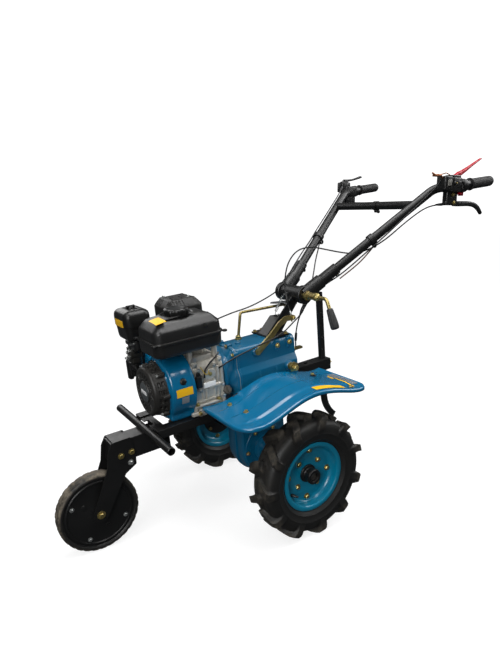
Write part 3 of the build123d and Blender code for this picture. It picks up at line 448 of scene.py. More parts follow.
class Finish:
    """A material in the making: a Principled shader and the nodes that feed it."""

    def __init__(self, name, **values):
        self.material = bpy.data.materials.new(name)
        self.material.use_nodes = True
        self.tree = self.material.node_tree
        self.shader = self.tree.nodes["Principled BSDF"]
        self.place = self.add("ShaderNodeTexCoord", output="Object")
        self.set(**values)

    def add(self, kind, settings=None, inputs=None, output=0):
        node = self.tree.nodes.new(kind)
        for key, value in (settings or {}).items():
            setattr(node, key, value)
        for key, value in (inputs or {}).items():
            feed(node.inputs[key], value)
        return Value(node.outputs[output])

    def set(self, **values):
        for key, value in values.items():
            feed(self.shader.inputs[key.replace("_", " ").title().replace("Ior", "IOR")], value)

    def noise(self, scale, detail=3.0, roughness=0.55, distortion=0.0):
        inputs = {"Vector": self.place, "Scale": scale, "Detail": detail}
        inputs.update({"Roughness": roughness, "Distortion": distortion})
        return self.add("ShaderNodeTexNoise", None, inputs)

    def axis(self, name, source=None):
        split = self.tree.nodes.new("ShaderNodeSeparateXYZ")
        feed(split.inputs[0], source or self.place)
        return Value(split.outputs["XYZ".index(name)])

    def facing_up(self):
        """How far the surface faces the sky."""
        return self.axis("Z", self.add("ShaderNodeNewGeometry", output="Normal"))

    def mix(self, share, first, second):
        """Colour between two colours."""
        node = self.tree.nodes.new("ShaderNodeMix")
        node.data_type = "RGBA"
        for place, value in zip((0, 6, 7), (share, first, second)):
            value = (*value, 1.0) if isinstance(value, tuple) and len(value) == 3 else value
            feed(node.inputs[place], value)
        return Value(node.outputs[2])

    def bump(self, height, strength, distance):
        """Normal of a surface raised by a height, given in metres at full strength."""
        inputs = {"Height": height, "Strength": strength, "Distance": distance}
        self.set(normal=self.add("ShaderNodeBump", None, inputs))


def linear(red, green, blue):
    """Screen colour from 0 to 255 as the light it stands for."""
    shares = np.array([red, green, blue]) / 255
    light = np.where(shares <= 0.04045, shares / 12.92, ((shares + 0.055) / 1.055) ** 2.4)
    return tuple(float(x) for x in light)


def dusted(finish, colour, dust, amount):
    """Colour with thin dust that has settled on what faces the sky."""
    patches = finish.noise(14.0, 5.0, 0.65).between(0.35, 0.8)
    settled = finish.facing_up().between(0.2, 1.0) * patches * amount
    return finish.mix(settled, colour, dust), settled


def enamel(name, colour, deep, rough=0.2, grain=0.0, coat=0.8):
    """Sprayed enamel: slight orange peel, a colour that varies a little, thin dust."""
    finish = Finish(name, ior=1.5, coat_roughness=0.06, coat_ior=1.5)
    tone = finish.mix(finish.noise(6.0, 4.0), deep, colour)
    tone, settled = dusted(finish, tone, linear(96, 108, 114), 0.05)
    scuffs = finish.noise(130.0, 4.0, 0.7).between(0.72, 0.86)
    tone = finish.mix(scuffs * 0.12, tone, linear(60, 64, 70))
    finish.set(base_color=tone, coat_weight=coat - settled * 1.2 - scuffs * 0.2)
    finish.set(roughness=finish.noise(40.0, 3.0) * 0.14 + (rough - 0.05) + settled * 0.5)
    peel = finish.noise(260.0, 2.0) + finish.noise(90.0, 3.0) * grain
    finish.bump(peel, 0.14 + 0.3 * min(grain, 1.0), 0.0006)
    return finish.material


def satin(name, colour, rough=0.42, dust=0.25, texture=620.0, strength=0.18, wear=0.0):
    """Satin black coating or moulding with fine texture and dry dust."""
    finish = Finish(name, ior=1.48)
    lighter = tuple(c * 1.4 + 0.001 for c in colour)
    tone = finish.mix(finish.noise(9.0, 5.0, 0.6).between(0.35, 0.75), colour, lighter)
    tone, settled = dusted(finish, tone, linear(96, 88, 78), dust)
    if wear:
        rubbed = finish.noise(55.0, 6.0, 0.75).between(0.62, 0.74) * wear
        tone = finish.mix(rubbed, tone, linear(104, 92, 80))
        finish.set(metallic=rubbed * 0.4)
    finish.set(base_color=tone)
    finish.set(roughness=finish.noise(60.0, 4.0) * 0.2 + (rough - 0.1) + settled * 0.4)
    finish.bump(finish.noise(texture, 3.0, 0.6), strength, 0.0004)
    return finish.material


def cast_metal():
    """Bead-blasted die casting with patches of grime."""
    finish = Finish("cast_aluminium", ior=1.5)
    grime = finish.noise(28.0, 6.0, 0.7).between(0.42, 0.75)
    tone = finish.mix(finish.noise(120.0, 4.0), linear(182, 178, 168), linear(218, 214, 204))
    tone = finish.mix(grime * 0.3, tone, linear(112, 104, 92))
    finish.set(base_color=tone, metallic=0.45 - grime * 0.2, roughness=grime * 0.25 + 0.38)
    finish.bump(finish.noise(520.0, 4.0, 0.7), 0.35, 0.0005)
    return finish.material


def plated(name, light, dark, third):
    """Zinc plate whose thin film drifts between three tints."""
    finish = Finish(name, ior=1.5)
    drift = finish.noise(34.0, 3.0, 0.5, 0.6).between(0.3, 0.7)
    tone = finish.mix(drift, dark, light)
    tone = finish.mix(finish.noise(21.0, 2.0, 0.5, 1.2).between(0.55, 0.75) * 0.6, tone, third)
    dull = finish.noise(160.0, 5.0, 0.7)
    finish.set(base_color=tone, metallic=0.9, roughness=dull * 0.22 + 0.24)
    finish.bump(finish.noise(420.0, 3.0), 0.12, 0.0003)
    return finish.material


def tread_rubber(name, black, brown, axle, crown):
    """Moulded rubber, with dry earth rubbed into the tread that its attribute marks."""
    finish = Finish(name, ior=1.5)
    x, z = finish.axis("X") - float(axle[0]), finish.axis("Z") - float(axle[2])
    radius = (x * x + z * z).math("SQRT")
    tread = finish.add("ShaderNodeAttribute", {"attribute_name": "tread"}, output="Fac")
    patches = finish.noise(36.0, 6.0, 0.72).between(0.36, 0.66)
    specks = finish.noise(240.0, 4.0, 0.7).between(0.45, 0.75)
    soil = tread * patches * radius.between(crown * 0.78, crown * 0.97)
    tone = finish.mix(finish.noise(20.0, 4.0), black, tuple(c * 1.6 + 0.004 for c in black))
    tone = finish.mix((soil * 0.75 + soil * specks * 0.35).math("MINIMUM", 0.85), tone, brown)
    bloom = finish.noise(7.0, 5.0, 0.6).between(0.5, 0.8)
    tone = finish.mix(bloom * 0.1, tone, brown)
    finish.set(base_color=tone, roughness=soil * 0.35 + finish.noise(70.0, 3.0) * 0.2 + 0.42)
    height = finish.noise(380.0, 4.0, 0.65) * 0.6 + finish.noise(60.0, 3.0) * 0.8 + soil * specks
    finish.bump(height, 0.25, 0.0009)
    return finish.material


def plain(name, colour, rough=0.45, metallic=0.0, vary=0.25):
    """Moulded or printed surface whose colour and gloss vary a little."""
    finish = Finish(name, metallic=metallic, ior=1.5)
    darker = tuple(c * (1 - vary) for c in colour)
    finish.set(base_color=finish.mix(finish.noise(45.0, 4.0), darker, colour))
    finish.set(roughness=finish.noise(80.0, 4.0) * 0.2 + (rough - 0.1))
    finish.bump(finish.noise(500.0, 3.0), 0.12, 0.0004)
    return finish.material


BLUE = enamel("blue_enamel", linear(0, 106, 148), linear(0, 95, 135), coat=0.5)
CAST_BLUE = enamel("cast_blue_enamel", linear(0, 94, 130), linear(0, 84, 118), 0.3, 0.6, 0.35)
RIM_BLUE = enamel("rim_blue_enamel", linear(0, 132, 166), linear(0, 118, 150), 0.3, 0.2, 0.3)
TYRE = tread_rubber("tyre_rubber", linear(17, 17, 16), linear(82, 76, 66), AXLE, 0.203)
FRONT_AXLE = AXLE + (FRONT_X / 1000, 0, FRONT_Z / 1000)
FRONT_RUBBER = tread_rubber(
    "front_rubber", linear(24, 23, 22), linear(130, 120, 104), FRONT_AXLE, 0.127,
)
BLACK = satin("black_satin_paint", linear(17, 17, 17), 0.4, 0.06, wear=0.12)
FRAME_BLACK = satin("black_frame_paint", linear(18, 18, 18), 0.38, 0.06, wear=0.12)
TANK_BLACK = satin("moulded_black", linear(24, 24, 24), 0.36, 0.08, 900.0, 0.3)
PLASTIC = satin("black_plastic", linear(16, 16, 16), 0.36, 0.05, 1100.0, 0.2)
MUFFLER_BLACK = satin("heat_black", linear(22, 21, 20), 0.5, 0.08, 700.0, 0.3)
CAST = cast_metal()
GOLD = plated("yellow_zinc", linear(196, 178, 118), linear(150, 136, 84), linear(186, 150, 128))
ZINC = plated("white_zinc", linear(196, 198, 196), linear(150, 152, 150), linear(176, 182, 188))
STEEL = plated("turned_steel", linear(150, 148, 144), linear(104, 102, 98), linear(128, 118, 108))
GREY_PLATE = plain("grey_plate", linear(108, 110, 112), 0.4, 0.3)
RED = plain("red_plastic", linear(178, 10, 34), 0.36, vary=0.12)
GRIP = satin("grip_rubber", linear(30, 30, 31), 0.6, 0.15, 800.0, 0.35)
CABLE = satin("cable_sheath", linear(18, 18, 19), 0.42, 0.1, 900.0, 0.15)
BROWN_WIRE = plain("brown_wire", linear(96, 62, 44), 0.45)
YELLOW_WIRE = plain("yellow_wire", linear(206, 172, 40), 0.45)
YELLOW_LABEL = plain("yellow_label", linear(248, 190, 16), 0.42, vary=0.08)
GREY_LABEL = plain("grey_label", linear(132, 138, 144), 0.42, vary=0.15)
WHITE_LABEL = plain("white_label", linear(246, 246, 244), 0.5, vary=0.05)
# Near-black used as painted shade: dark fills set where open tube ends and slots are in shadow.
DARK = plain("painted_shade_black", linear(9, 9, 9), 0.8)
DARK_CAST = plain("dark_cast", linear(46, 45, 42), 0.45, 0.3)
COVER_BLACK = satin("cover_black", linear(38, 37, 35), 0.4, 0.15)
FILLER_GREY = plain("filler_grey", linear(78, 74, 66), 0.5)
GASKET = plain("gasket_grey", linear(146, 148, 146), 0.6)

# Drive wheels

LUGS = 11
LUG_SAMPLES = 40
LUG_LEAN = 0.19
LUG_LEAN_REACH = 46
DISC_BOLTS = (81, 4, 2)
HUB_BOLTS = (56, 4, 47)
TYRE_BASE = [
    (105.4, 31), (112, 31.2), (117, 31.8), (121, 36.5), (127, 40.5), (129, 42.6), (131, 42.2),
    (140, 46), (147, 47.6), (149, 49), (151, 48.4), (156, 48.4), (162, 48), (168, 47), (175, 44.5),
    (181, 40.5), (185.5, 34), (187.5, 26), (188.5, 14), (188.5, 8), (188.5, 2),
]
TYRE_LUG = TYRE_BASE[:11] + [
    (157.5, 50.4), (164, 51.8), (172, 52.4), (183, 52.5), (192.5, 52.3), (199.5, 49.5),
    (202.2, 40), (203, 24), (203, 12), (203, 3),
]


def tyre_form():
    """Carcass profile turned about Y; each lug lifts it to the lug profile and leans off axial."""
    base, high = np.array(with_mirror(TYRE_BASE)), np.array(with_mirror(TYRE_LUG))
    share = np.arange(LUGS * LUG_SAMPLES) / LUG_SAMPLES
    reach = base[:, 1:]
    lean = LUG_LEAN * np.minimum(np.abs(reach), LUG_LEAN_REACH) / LUG_LEAN_REACH

    def bars(phase, side):
        """1 on the lugs of one side and 0 between them."""
        step = (share + phase) % 1
        across = smooth(0.08, 0.115, step) * (1 - smooth(0.35, 0.385, step))
        return across * smooth(-11, -7, reach * side)

    lift = np.maximum(bars(0.0, 1), bars(0.5, -1))
    radius = base[:, :1] + lift * (high[:, :1] - base[:, :1])
    side = reach + lift * (high[:, 1:] - reach)
    turn = share * 2 * math.pi / LUGS - lean
    rows = np.stack((radius * np.cos(turn), side, radius * np.sin(turn)), -1)
    tread = np.clip(lift + 0.3 * smooth(160, 188, radius), 0, 1)
    rows, tread = np.vstack((rows, rows[:1])), np.vstack((tread, tread[:1]))
    return skin(rows, caps=(False, False)), tread


def rim_form():
    """Pressed disc and drop-centre rim in one closed profile, with rolled flanges."""
    face = [
        (30.3, 2.2), (56, 2.2), (59, 3.6), (76, 3.6), (84, 2.6), (88, 3.4), (92, 6.5), (96, 12),
        (98.6, 19), (99.4, 27), (100.4, 31), (103, 33.8), (107, 35), (113, 35), (116, 34),
        (116.5, 32.6), (114.5, 31.6), (108, 31.4), (105.4, 30.6), (105.1, 26), (105, 19),
        (101, 10), (96.5, 3.5), (94.5, 0),
    ]
    return face + [(r, -y) for r, y in face[-2::-1]]


HUB = [
    (14.3, -70), (21, -70), (21, -14), (24, -11.5), (64, -11), (67, -10), (67, -3), (30, -2.4),
    (30, 5.6), (28.6, 8), (23, 10), (21, 13), (21, 20), (22.6, 23), (25, 24.4), (25, 36),
    (23.8, 38), (15.8, 38), (14.3, 36.6),
]


def wheel(word, side):
    """One drive wheel: tyre, rim, hub, axle end, bolts and valve."""
    body = f"{word}_wheel"

    def put(points):
        """Places round the left wheel's middle, taken to this wheel."""
        return standing(np.asarray(points) * (1, side, 1) + (0, side * TRACK, 0))

    tyre, tread = tyre_form()
    piece(
        f"{word}_tyre_lugged", tyre, TYRE, "tyre", body, put, f"{word}_tyre", ("tread", tread),
        SOFT_CREASE,
    )
    piece(
        f"{word}_rim_pressed", lathe(rim_form(), 96, True), RIM_BLUE, "blue_paint", body, put,
        f"{word}_rim", crease=TURNED_CREASE,
    )
    piece(
        f"{word}_hub_cast", lathe(HUB, 64, True), BLACK, "black_paint", body, put, f"{word}_hub",
        crease=TURNED_CREASE,
    )
    heads = joined(
        bolts(ring_places((0, reach, 0), *pattern), direction, 7.5, 6, washer)
        for reach, pattern, direction, washer in (
            (3.2, DISC_BOLTS, LEFT, 1.45), (2.2, HUB_BOLTS, LEFT, 1.45),
            (-11, HUB_BOLTS, RIGHT, 0), (-2.6, DISC_BOLTS, RIGHT, 1.4),
        )
    )
    piece(f"{word}_wheel_bolts", heads, GOLD, "zinc", body, put, crease=BOLT_CREASE)
    stem = lathe(
        [(0, 22), (3.4, 22), (3.8, 20), (3.8, 10), (5, 8), (5.4, -2), (4, -3), (0, -3)], 16,
    )
    piece(f"{word}_valve", stem.turn(28, "Z").at(68, 8, -56), PLASTIC, "black_plastic", body, put)
    finishes = frame["nodes"][f"{word}_axle"].data.materials
    finishes.clear()
    finishes.append(STEEL)


wheel("left", 1)
wheel("right", -1)


# Front wheel


def front_place(points):
    """Places round the front wheel's middle, in metres of the frame."""
    return standing(np.asarray(points) + (FRONT_X, 0, FRONT_Z))


def front_tyre_form():
    """Rubber band with shallow slanted cuts across its worn tread."""
    half = [
        (112, 0), (112, 20), (113.5, 21.8), (118, 22.4), (123, 21.4), (126, 18.5), (126.8, 12),
        (127, 6), (127, 0),
    ]
    profile = np.array(half + [(r, -y) for r, y in half[-2:0:-1]] + half[:1])
    share = np.arange(360) / 360
    reach = profile[:, 1:]
    step = (share * 30 + np.sign(reach) * 0.12 + np.abs(reach) * 0.012) % 1
    base, turn = profile[:, :1], share * 2 * math.pi
    cut = smooth(0.0, 0.1, step) * (1 - smooth(0.3, 0.4, step)) * smooth(121.5, 125, base)
    worn = 0.7 * np.sin(turn * 7) * np.sin(turn * 3 + 1) * smooth(120, 126, base)
    radius = base - 1.3 * cut * smooth(4, 9, np.abs(reach)) + np.minimum(worn, 0)
    rows = np.stack((radius * np.cos(turn), reach + 0 * turn, radius * np.sin(turn)), -1)
    return skin(rows, caps=(False, False)), smooth(119, 124, radius)


rubber, tread = front_tyre_form()
piece(
    "front_tyre_worn", rubber, FRONT_RUBBER, "solid_rubber", "front_wheel", front_place,
    "front_tyre", ("tread", tread), SOFT_CREASE,
)
disc_face = [
    (6.3, 29), (15, 29), (15, 17.5), (17, 16.6), (95, 16.6), (98, 17.2), (100, 19.8),
    (102.5, 20.6), (105, 19.6), (106.5, 18.4), (109.5, 18.4), (111, 20), (112.3, 20), (112.3, 18),
]
pressed = lathe(with_mirror(disc_face), 120, True)
slot_ring = arc_path([(-36, -5), (-18, -5), (-18, 5), (-36, 5)], 4.9, 5, True)
slots = stack(slot_ring, [(16, 0), (18.2, 0.4), (18.8, 1.4), (18.2, 2.6)], "xzy")
slots = slots.turn(-20, "Y").at(0, 0, -38)
dimple = lathe([(9, 16), (8, 17.8), (5.5, 18.6), (0, 18.8)], 24).at(46, 0, 30)
pressed = pressed + both(slots + dimple)
piece(
    "front_wheel_disc", pressed, FRAME_BLACK, "black_paint", "front_wheel", front_place,
    "front_disc", crease=TURNED_CREASE,
)
pins = ring_places((0, 16.6, 0), 89, 4, 23)
pins = both(bolts(pins, LEFT, 5.2, 4.2, 1.5))
fasteners("front_disc_bolts", pins, ZINC, body="front_wheel", place=front_place)

fork_x = FRONT_X * LEAN[2] - FRONT_Z * LEAN[0]
fork_z = FRONT_X * LEAN[0] + FRONT_Z * LEAN[2]
shank = bar((0, -35, 0), (0, 35, 0), 6)
ends = both(bolts([(0, 35, 0)], LEFT, 9, 7, 1.5))
piece(
    "front_axle_hex", (shank + ends).at(fork_x, 0, fork_z), GOLD, "zinc",
    stands_for="front_axle_bolt", crease=BOLT_CREASE,
)

# Engine frame, tow arm and fork

for node in ("frame_rails", "cross_plate", "tow_arm", "front_fork"):
    softened(node, FRAME_BLACK)
BUMPER = (421, 0, 200)
bumper_profile = [
    (0, -150), (10, -150), (10, -208), (10.2, -212), (11, -212), (12.5, -210.5), (12.5, 210.5),
    (11, 212), (10.2, 212), (10, 208), (10, 150), (0, 150),
]
bumper = lathe(bumper_profile, 48).at(*BUMPER)
piece(
    "bumper_tube", bumper, FRAME_BLACK, "black_paint", stands_for="bumper_bar",
    crease=TURNED_CREASE,
)
# Dark cylinders inside the bumper tube's open ends: painted shade standing for the darkness of the
# hollow.
end_shade = both(lathe([(0, 190), (9.95, 190), (9.95, 150), (0, 150)], 24).at(*BUMPER))
piece("bumper_end_shade", end_shade, DARK, "black_paint")

fork_gold = both(bolts([(515, 35, 148), (480, 35, 151)], LEFT, 8, 6, 1.3))
fasteners("fork_bolts_gold", fork_gold)
bent_strip = [
    (486, 194), (519, 194), (534, 171), (543, 126), (546.5, 126), (537.5, 172.5), (521, 199),
    (486, 199),
]
front_plate = plate(bent_strip, (-30.5, 30.5), 1)
piece("fork_front_plate", front_plate, FRAME_BLACK, "black_paint", crease=CAST_CREASE)
fasteners("fork_bolts_white", both(bolts([(488, 35, 117)], LEFT, 7.5, 6, 1.3)), ZINC)

# Gearbox, clutch cover and final drive

SEAM_LUG_X = 104
case_ring = arc_path(
    [(-66, 393), (66, 393), (66, 326), (78, 303), (78, 240), (-78, 240), (-78, 303), (-66, 326)],
    [20, 20, 9, 14, 6, 6, 14, 9], 8, True,
)
case_levels = [
    (-155, 6), (-154.4, 3), (-152.5, 0.8), (-150, 0), (83, 0), (84, -0.6), (85, -3), (86, -4.4),
    (94.2, -4.6),
]
case = stack(case_ring, case_levels, "zxy")


def even_ring(ring, count, first):
    """The outline again with a number of evenly spaced points, from the one nearest a place."""
    ring = np.roll(ring, -int(np.argmin(np.linalg.norm(ring - first, axis=1))), 0)
    loop = np.vstack((ring, ring[:1]))
    along = np.concatenate(([0], np.cumsum(np.linalg.norm(np.diff(loop, axis=0), axis=1))))
    share = np.linspace(0, along[-1], count, endpoint=False)
    return np.stack([np.interp(share, along, loop[:, i]) for i in (0, 1)], -1)


def loft(first, last, levels, order="zxy"):
    """Outlines blended from one to another; levels hold height, share and inset."""
    rows = [
        at_height(inset(first + share * (last - first), amount), height)
        for height, share, amount in levels
    ]
    return skin(rows).lie(order)


def circle(radius, count=96, centre=(0.0, CRANK_Z), start=90.0):
    turn = np.radians(start) + full_turn(count)
    return np.stack((centre[0] + radius * np.cos(turn), centre[1] + radius * np.sin(turn)), -1)


square = even_ring(case_ring, 96, (0, 393))
round_mouth = circle(85)
quarter = len(square) // 4
gaps = [np.linalg.norm(square[quarter] - round_mouth[i]) for i in (quarter, -quarter)]
if gaps[0] > gaps[1]:
    square = np.roll(square[::-1], 1, 0)
cover = loft(square, round_mouth, [
    (95.4, 0, -4.6), (103, 0, -4.4), (104.5, 0, -3), (105, 0, -0.4), (107, 0.02, 0.4),
    (116, 0.22, 2), (126, 0.55, 4), (136, 0.85, 3), (141, 0.95, 2), (142.5, 1, 0),
    (143.5, 1, -2.4), (151, 1, -2.6), (152, 1, -1.6),
])
gasket = loft(square, square, [(94, 0, -5), (95.6, 0, -5)])
foot_pads = joined(
    box((x - 9, x + 9), (side * 66 - 5, side * 66 + 5), (352, 388), 4, 1.5)
    for x in (-127, -75) for side in (-1, 1)
)
boss = lathe([(0, 88), (13, 88), (15, 86), (17, 74), (17, 60)], 32)
bosses = both(boss.at(12, -14, 368) + boss.at(-112, 0, 290))
ribs = both(joined(box((x - 3, x + 3), (60, 79.5), (244, 300), 2, 1.4) for x in (-60, 10)))
fill_plug = lathe([(0, 6), (10, 6), (11, 5), (11, 1), (14, 0), (0, 0)], 24).aim((48, 8, 393), UP)
casting("gearbox_case", case + foot_pads + bosses + ribs + fill_plug, "gearbox")
casting("clutch_cover", cover, "clutch_housing")
piece("seam_gasket", gasket, GASKET, "aluminium")
seam = [(70, 300), (64, 378), (26, 400), (-26, 400), (-64, 378), (-70, 300)]
seam_ear = [(0, 0), (8, 0), (8, -18), (0, -18)]
seam_lugs = joined(facing_forward(seam_ear, SEAM_LUG_X, y, z) for y, z in seam)
casting("seam_bolt_ears", seam_lugs)
fasteners("seam_bolts", bolts([(SEAM_LUG_X, y, z) for y, z in seam], FORWARD, 5.5, 5))
side_bolts = both(bolts([(-75, 71, 370), (-127, 71, 372)], LEFT, 7, 6))
fasteners("foot_side_bolts", side_bolts)

leg_ring = arc_path([(-95, 242), (90, 242), (90, -95), (-95, -95)], [6, 6, 88, 94], 22, True)
half_case = [(1.2, -5), (7, -5), (8.5, -3.6), (9, 0), (42, 0), (48, 1.6), (51, 4.5), (52, 9)]
drive_case = both(stack(leg_ring, half_case, "xzy"))
lid_face = [
    (0, 57), (40, 57), (42, 56.4), (44, 54.4), (64, 54.4), (66, 56.6), (84, 56.6), (86, 55),
    (86, 50), (0, 50),
]
round_lid = lathe(lid_face, 72)
leg_rib = box((-8, 8), (30, 56), (92, 236), 4, 2)
casting("final_drive_case", drive_case + both(round_lid + leg_rib), "final_drive")
leg_bolts = [(-20, 52, 130), (44, 52, 150), (-60, 52, 190)]
lid_bolts = np.vstack((ring_places((0, 56.6, 0), 76, 6, 0), leg_bolts))
fasteners("final_drive_bolts", both(bolts(lid_bolts, LEFT, 6, 5)))
tube_face = [
    (14.5, 52), (42, 52), (46, 54), (46, 62), (42, 64), (36, 68), (34, 100), (38, 103), (38, 111),
    (37, 112), (14.5, 112),
]
casting("axle_tubes", both(lathe(tube_face, 56, True)), "axle_housings")

# Mudguards

GUARD_X = (-240.0, 250.0)
GUARD_Y = (92.0, 341.0)
FRONT_CORNER, REAR_CORNER = 70, 35
LIP = 5.0
CREST_X = (-240, -205, -160, -100, -20, 60, 160, 205, 250)
CREST_Z = (257, 252, 260, 278, 290, 279, 250, 247, 251)
crest = np.polynomial.Polynomial.fit(CREST_X, CREST_Z, 7)


def guard_height(x, y):
    """Crest line along X, with the pressed channels between the creases along Y."""
    ends = smooth(-236, -205, x) * (1 - smooth(190, 238, x))
    bow = 14 * ((x - 10) / 230) ** 2
    inner = smooth(142, 149, y - bow * 0.8)
    step = smooth(224, 232, y + bow * 0.4)
    outer = smooth(284, 300, y + bow * 0.4)
    rise = 3.4 * inner + 4.0 * step - 4.4 * outer
    border = 1.6 * smooth(322, 328, y)
    return crest(x) - 6 + ends * rise + border * ends


def guard_sheet():
    """Plan grid with two round corners, its free edges rolled down into a lip."""
    turn = np.linspace(0, math.pi / 2, 12)
    low = GUARD_X[0] + REAR_CORNER * (1 - np.cos(turn))
    high = GUARD_X[1] - FRONT_CORNER * (1 - np.cos(turn))
    middle = np.linspace(low[-1], high[-1], 90)[1:-1]
    xs = np.concatenate((low, middle, high[::-1]))
    rear, front = (
        GUARD_Y[1] - corner * (1 - np.sin(turn))
        for corner in (REAR_CORNER, FRONT_CORNER)
    )
    edge = np.concatenate((rear, np.full(len(middle), GUARD_Y[1]), front[::-1]))
    share = np.linspace(0, 1, 100)[:, None]
    middle_x, shrink = sum(GUARD_X) / 2, 1 - LIP / 245
    x = middle_x + (xs - middle_x) * shrink + 0 * share
    y = GUARD_Y[0] + share * (edge - LIP - GUARD_Y[0])
    sheet = np.stack((x, y, guard_height(x, y)), -1)
    rim = np.vstack((sheet[:, 0], sheet[-1, 1:-1], sheet[::-1, -1]))
    ahead = np.gradient(rim[:, :2], axis=0)
    ahead /= np.linalg.norm(ahead, axis=1)[:, None]
    outward = np.stack((-ahead[:, 1], ahead[:, 0]), -1)
    rows = []
    for angle in np.radians([0, 22, 45, 68, 90]):
        out = rim[:, :2] + outward * LIP * math.sin(angle)
        rows.append(np.column_stack((out, rim[:, 2] - LIP * (1 - math.cos(angle)))))
    rows.append(rows[-1] - (0, 0, 5))
    rows.append(rows[-1] + np.column_stack((-outward * 1.2, np.full(len(rim), -1.4))))
    return open_skin(sheet) + open_skin(rows)


GUARD_METAL = 0.002
GUARD_LIFT = 1.0
LABEL_LIFT = 2.2
guard = guard_sheet()
for word, side in (("left", 1), ("right", -1)):
    sheet = piece(
        f"{word}_guard_sheet", guard.stretch(y=side), BLUE, "blue_paint",
        stands_for=f"{word}_mudguard", crease=CURVED_CREASE,
    )
    wall = sheet.modifiers.new("metal", "SOLIDIFY")
    wall.thickness, wall.offset = GUARD_METAL, 0.0
softened("guard_brackets", FRAME_BLACK)


def on_guard(x, y):
    """Place on the mudguard's upper face."""
    return (x, y, float(guard_height(np.array(float(x)), np.array(float(y)))) + GUARD_LIFT)


guard_bolts = [on_guard(172, 134), on_guard(172, 230), on_guard(-170, 136), on_guard(-178, 319)]
fasteners("guard_bolts", both(bolts(guard_bolts, UP, 6, 5, 1.5)))


def guard_label(x, y):
    """Thin label that follows the mudguard's surface between two ends on each axis."""
    gx, gy = np.meshgrid(np.linspace(*x, 24), np.linspace(*y, 10), indexing="ij")
    height = guard_height(gx, gy)
    faces = [np.stack((gx, gy, height + LABEL_LIFT - drop), -1) for drop in (0, 0.25)]
    return joined(open_skin(face) for face in faces)


piece("guard_label", guard_label((-153, -34), (295, 321)), YELLOW_LABEL, "blue_paint")
piece("guard_stripe_yellow", guard_label((-199, -192), (186, 316)), YELLOW_LABEL, "blue_paint")
stripes = joined(guard_label((x - 3.2, x + 3.2), (175, 300)) for x in (-208, -216.5, -225))
piece("guard_stripes_grey", stripes, GREY_LABEL, "blue_paint")

# Engine: shroud and starter

DRUM = 104.0
COWL_STEPS = 180


def cowl_ring():
    """Outline of the cowl by angle: the widest of a drum, a flat foot and a slanted duct."""
    turn = full_turn(COWL_STEPS)
    ray = np.stack((np.cos(turn), np.sin(turn)), -1)

    def reach(lean, y, z):
        """Distance along each ray to the wall of a leaning rectangle."""
        axes = np.array([[math.cos(lean), math.sin(lean)], [-math.sin(lean), math.cos(lean)]])
        along = ray @ axes.T
        limits = np.where(along > 0, (y[1], z[1]), (y[0], z[0]))
        with np.errstate(divide="ignore", invalid="ignore"):
            return np.min(np.where(np.abs(along) > 1e-9, limits / along, 1e9), axis=1)

    duct = reach(math.radians(-25), (-150, 2), (-44, 62))
    foot = reach(0.0, (-70, 70), (216 - CRANK_Z, 2))
    foot[ray[:, 1] > -0.05] = 0
    radius = np.maximum(np.maximum(DRUM, duct), foot)
    top = 127 / np.maximum(ray[:, 1], 0.05)
    radius = np.where(ray[:, 1] > 0.05, np.minimum(radius, top), radius)
    for _ in range(2):
        radius = (np.roll(radius, 1) + 2 * radius + np.roll(radius, -1)) / 4
    return ray * radius[:, None] + (0, CRANK_Z)


cowl = cowl_ring()
cowl_face = circle(93, COWL_STEPS, start=0)
cowl_side = [
    (268, 6), (268, 1), (269, -1.5), (272, -2), (274, -1.2), (276, 0), (310, 0), (336, 0),
    (342, 0.6), (346.5, 2.8), (349, 6), (350, 10),
]
cowl_rows = [at_height(inset(cowl, amount), x) for x, amount in cowl_side]
cowl_edge = inset(cowl, 10)
cowl_mouth = [
    (350.2, 0.5), (350.4, 0.86), (352, 0.92), (354.5, 0.96), (355, 1.0), (353, 1.04), (340, 1.06),
]
for x, share in cowl_mouth:
    cowl_rows.append(at_height(cowl_edge + share * (cowl_face - cowl_edge), x))
tab_ring = arc_path([(310, 398), (348, 398), (348, 446), (328, 446)], [3, 3, 9, 12], 6, True)
tab_eye = lathe([(0, 0), (8, 0), (9, -1), (9, -5), (0, -5)], 24).at(338, -71, 434)
tab = stack(tab_ring, eased((-76, -72), 0.8), "xzy") + tab_eye
piece(
    "fan_cowl", skin(cowl_rows).lie("zxy") + tab, BLUE, "blue_paint", stands_for="fan_shroud",
    crease=32,
)
cowl_plug = lathe([(0, 3.4), (7, 3), (9.8, 1.6), (11, 0), (11, -4), (0, -4)], 32)
out_y, out_z = math.cos(math.radians(20)), math.sin(math.radians(20))
cowl_plug = cowl_plug.aim((307, DRUM * out_y, CRANK_Z + DRUM * out_z), (0, out_y, out_z))
piece("cowl_plug", cowl_plug, PLASTIC, "black_plastic")


def cowl_label(x, turn):
    """Thin label laid on the cowl's drum between two places along X and two angles."""
    gx, ga = np.meshgrid(np.linspace(*x, 8), np.radians(np.linspace(*turn, 12)), indexing="ij")
    faces = []
    for drop in (0, 0.3):
        radius = DRUM + 0.5 - drop
        faces.append(np.stack((gx, radius * np.cos(ga), CRANK_Z + radius * np.sin(ga)), -1))
    return joined(open_skin(face) for face in faces)


piece("cowl_label_yellow", cowl_label((280, 336), (-5.6, 8.6)), YELLOW_LABEL, "blue_paint")
piece("cowl_label_grey", cowl_label((295, 320), (-20, -7.5)), GREY_LABEL, "blue_paint")


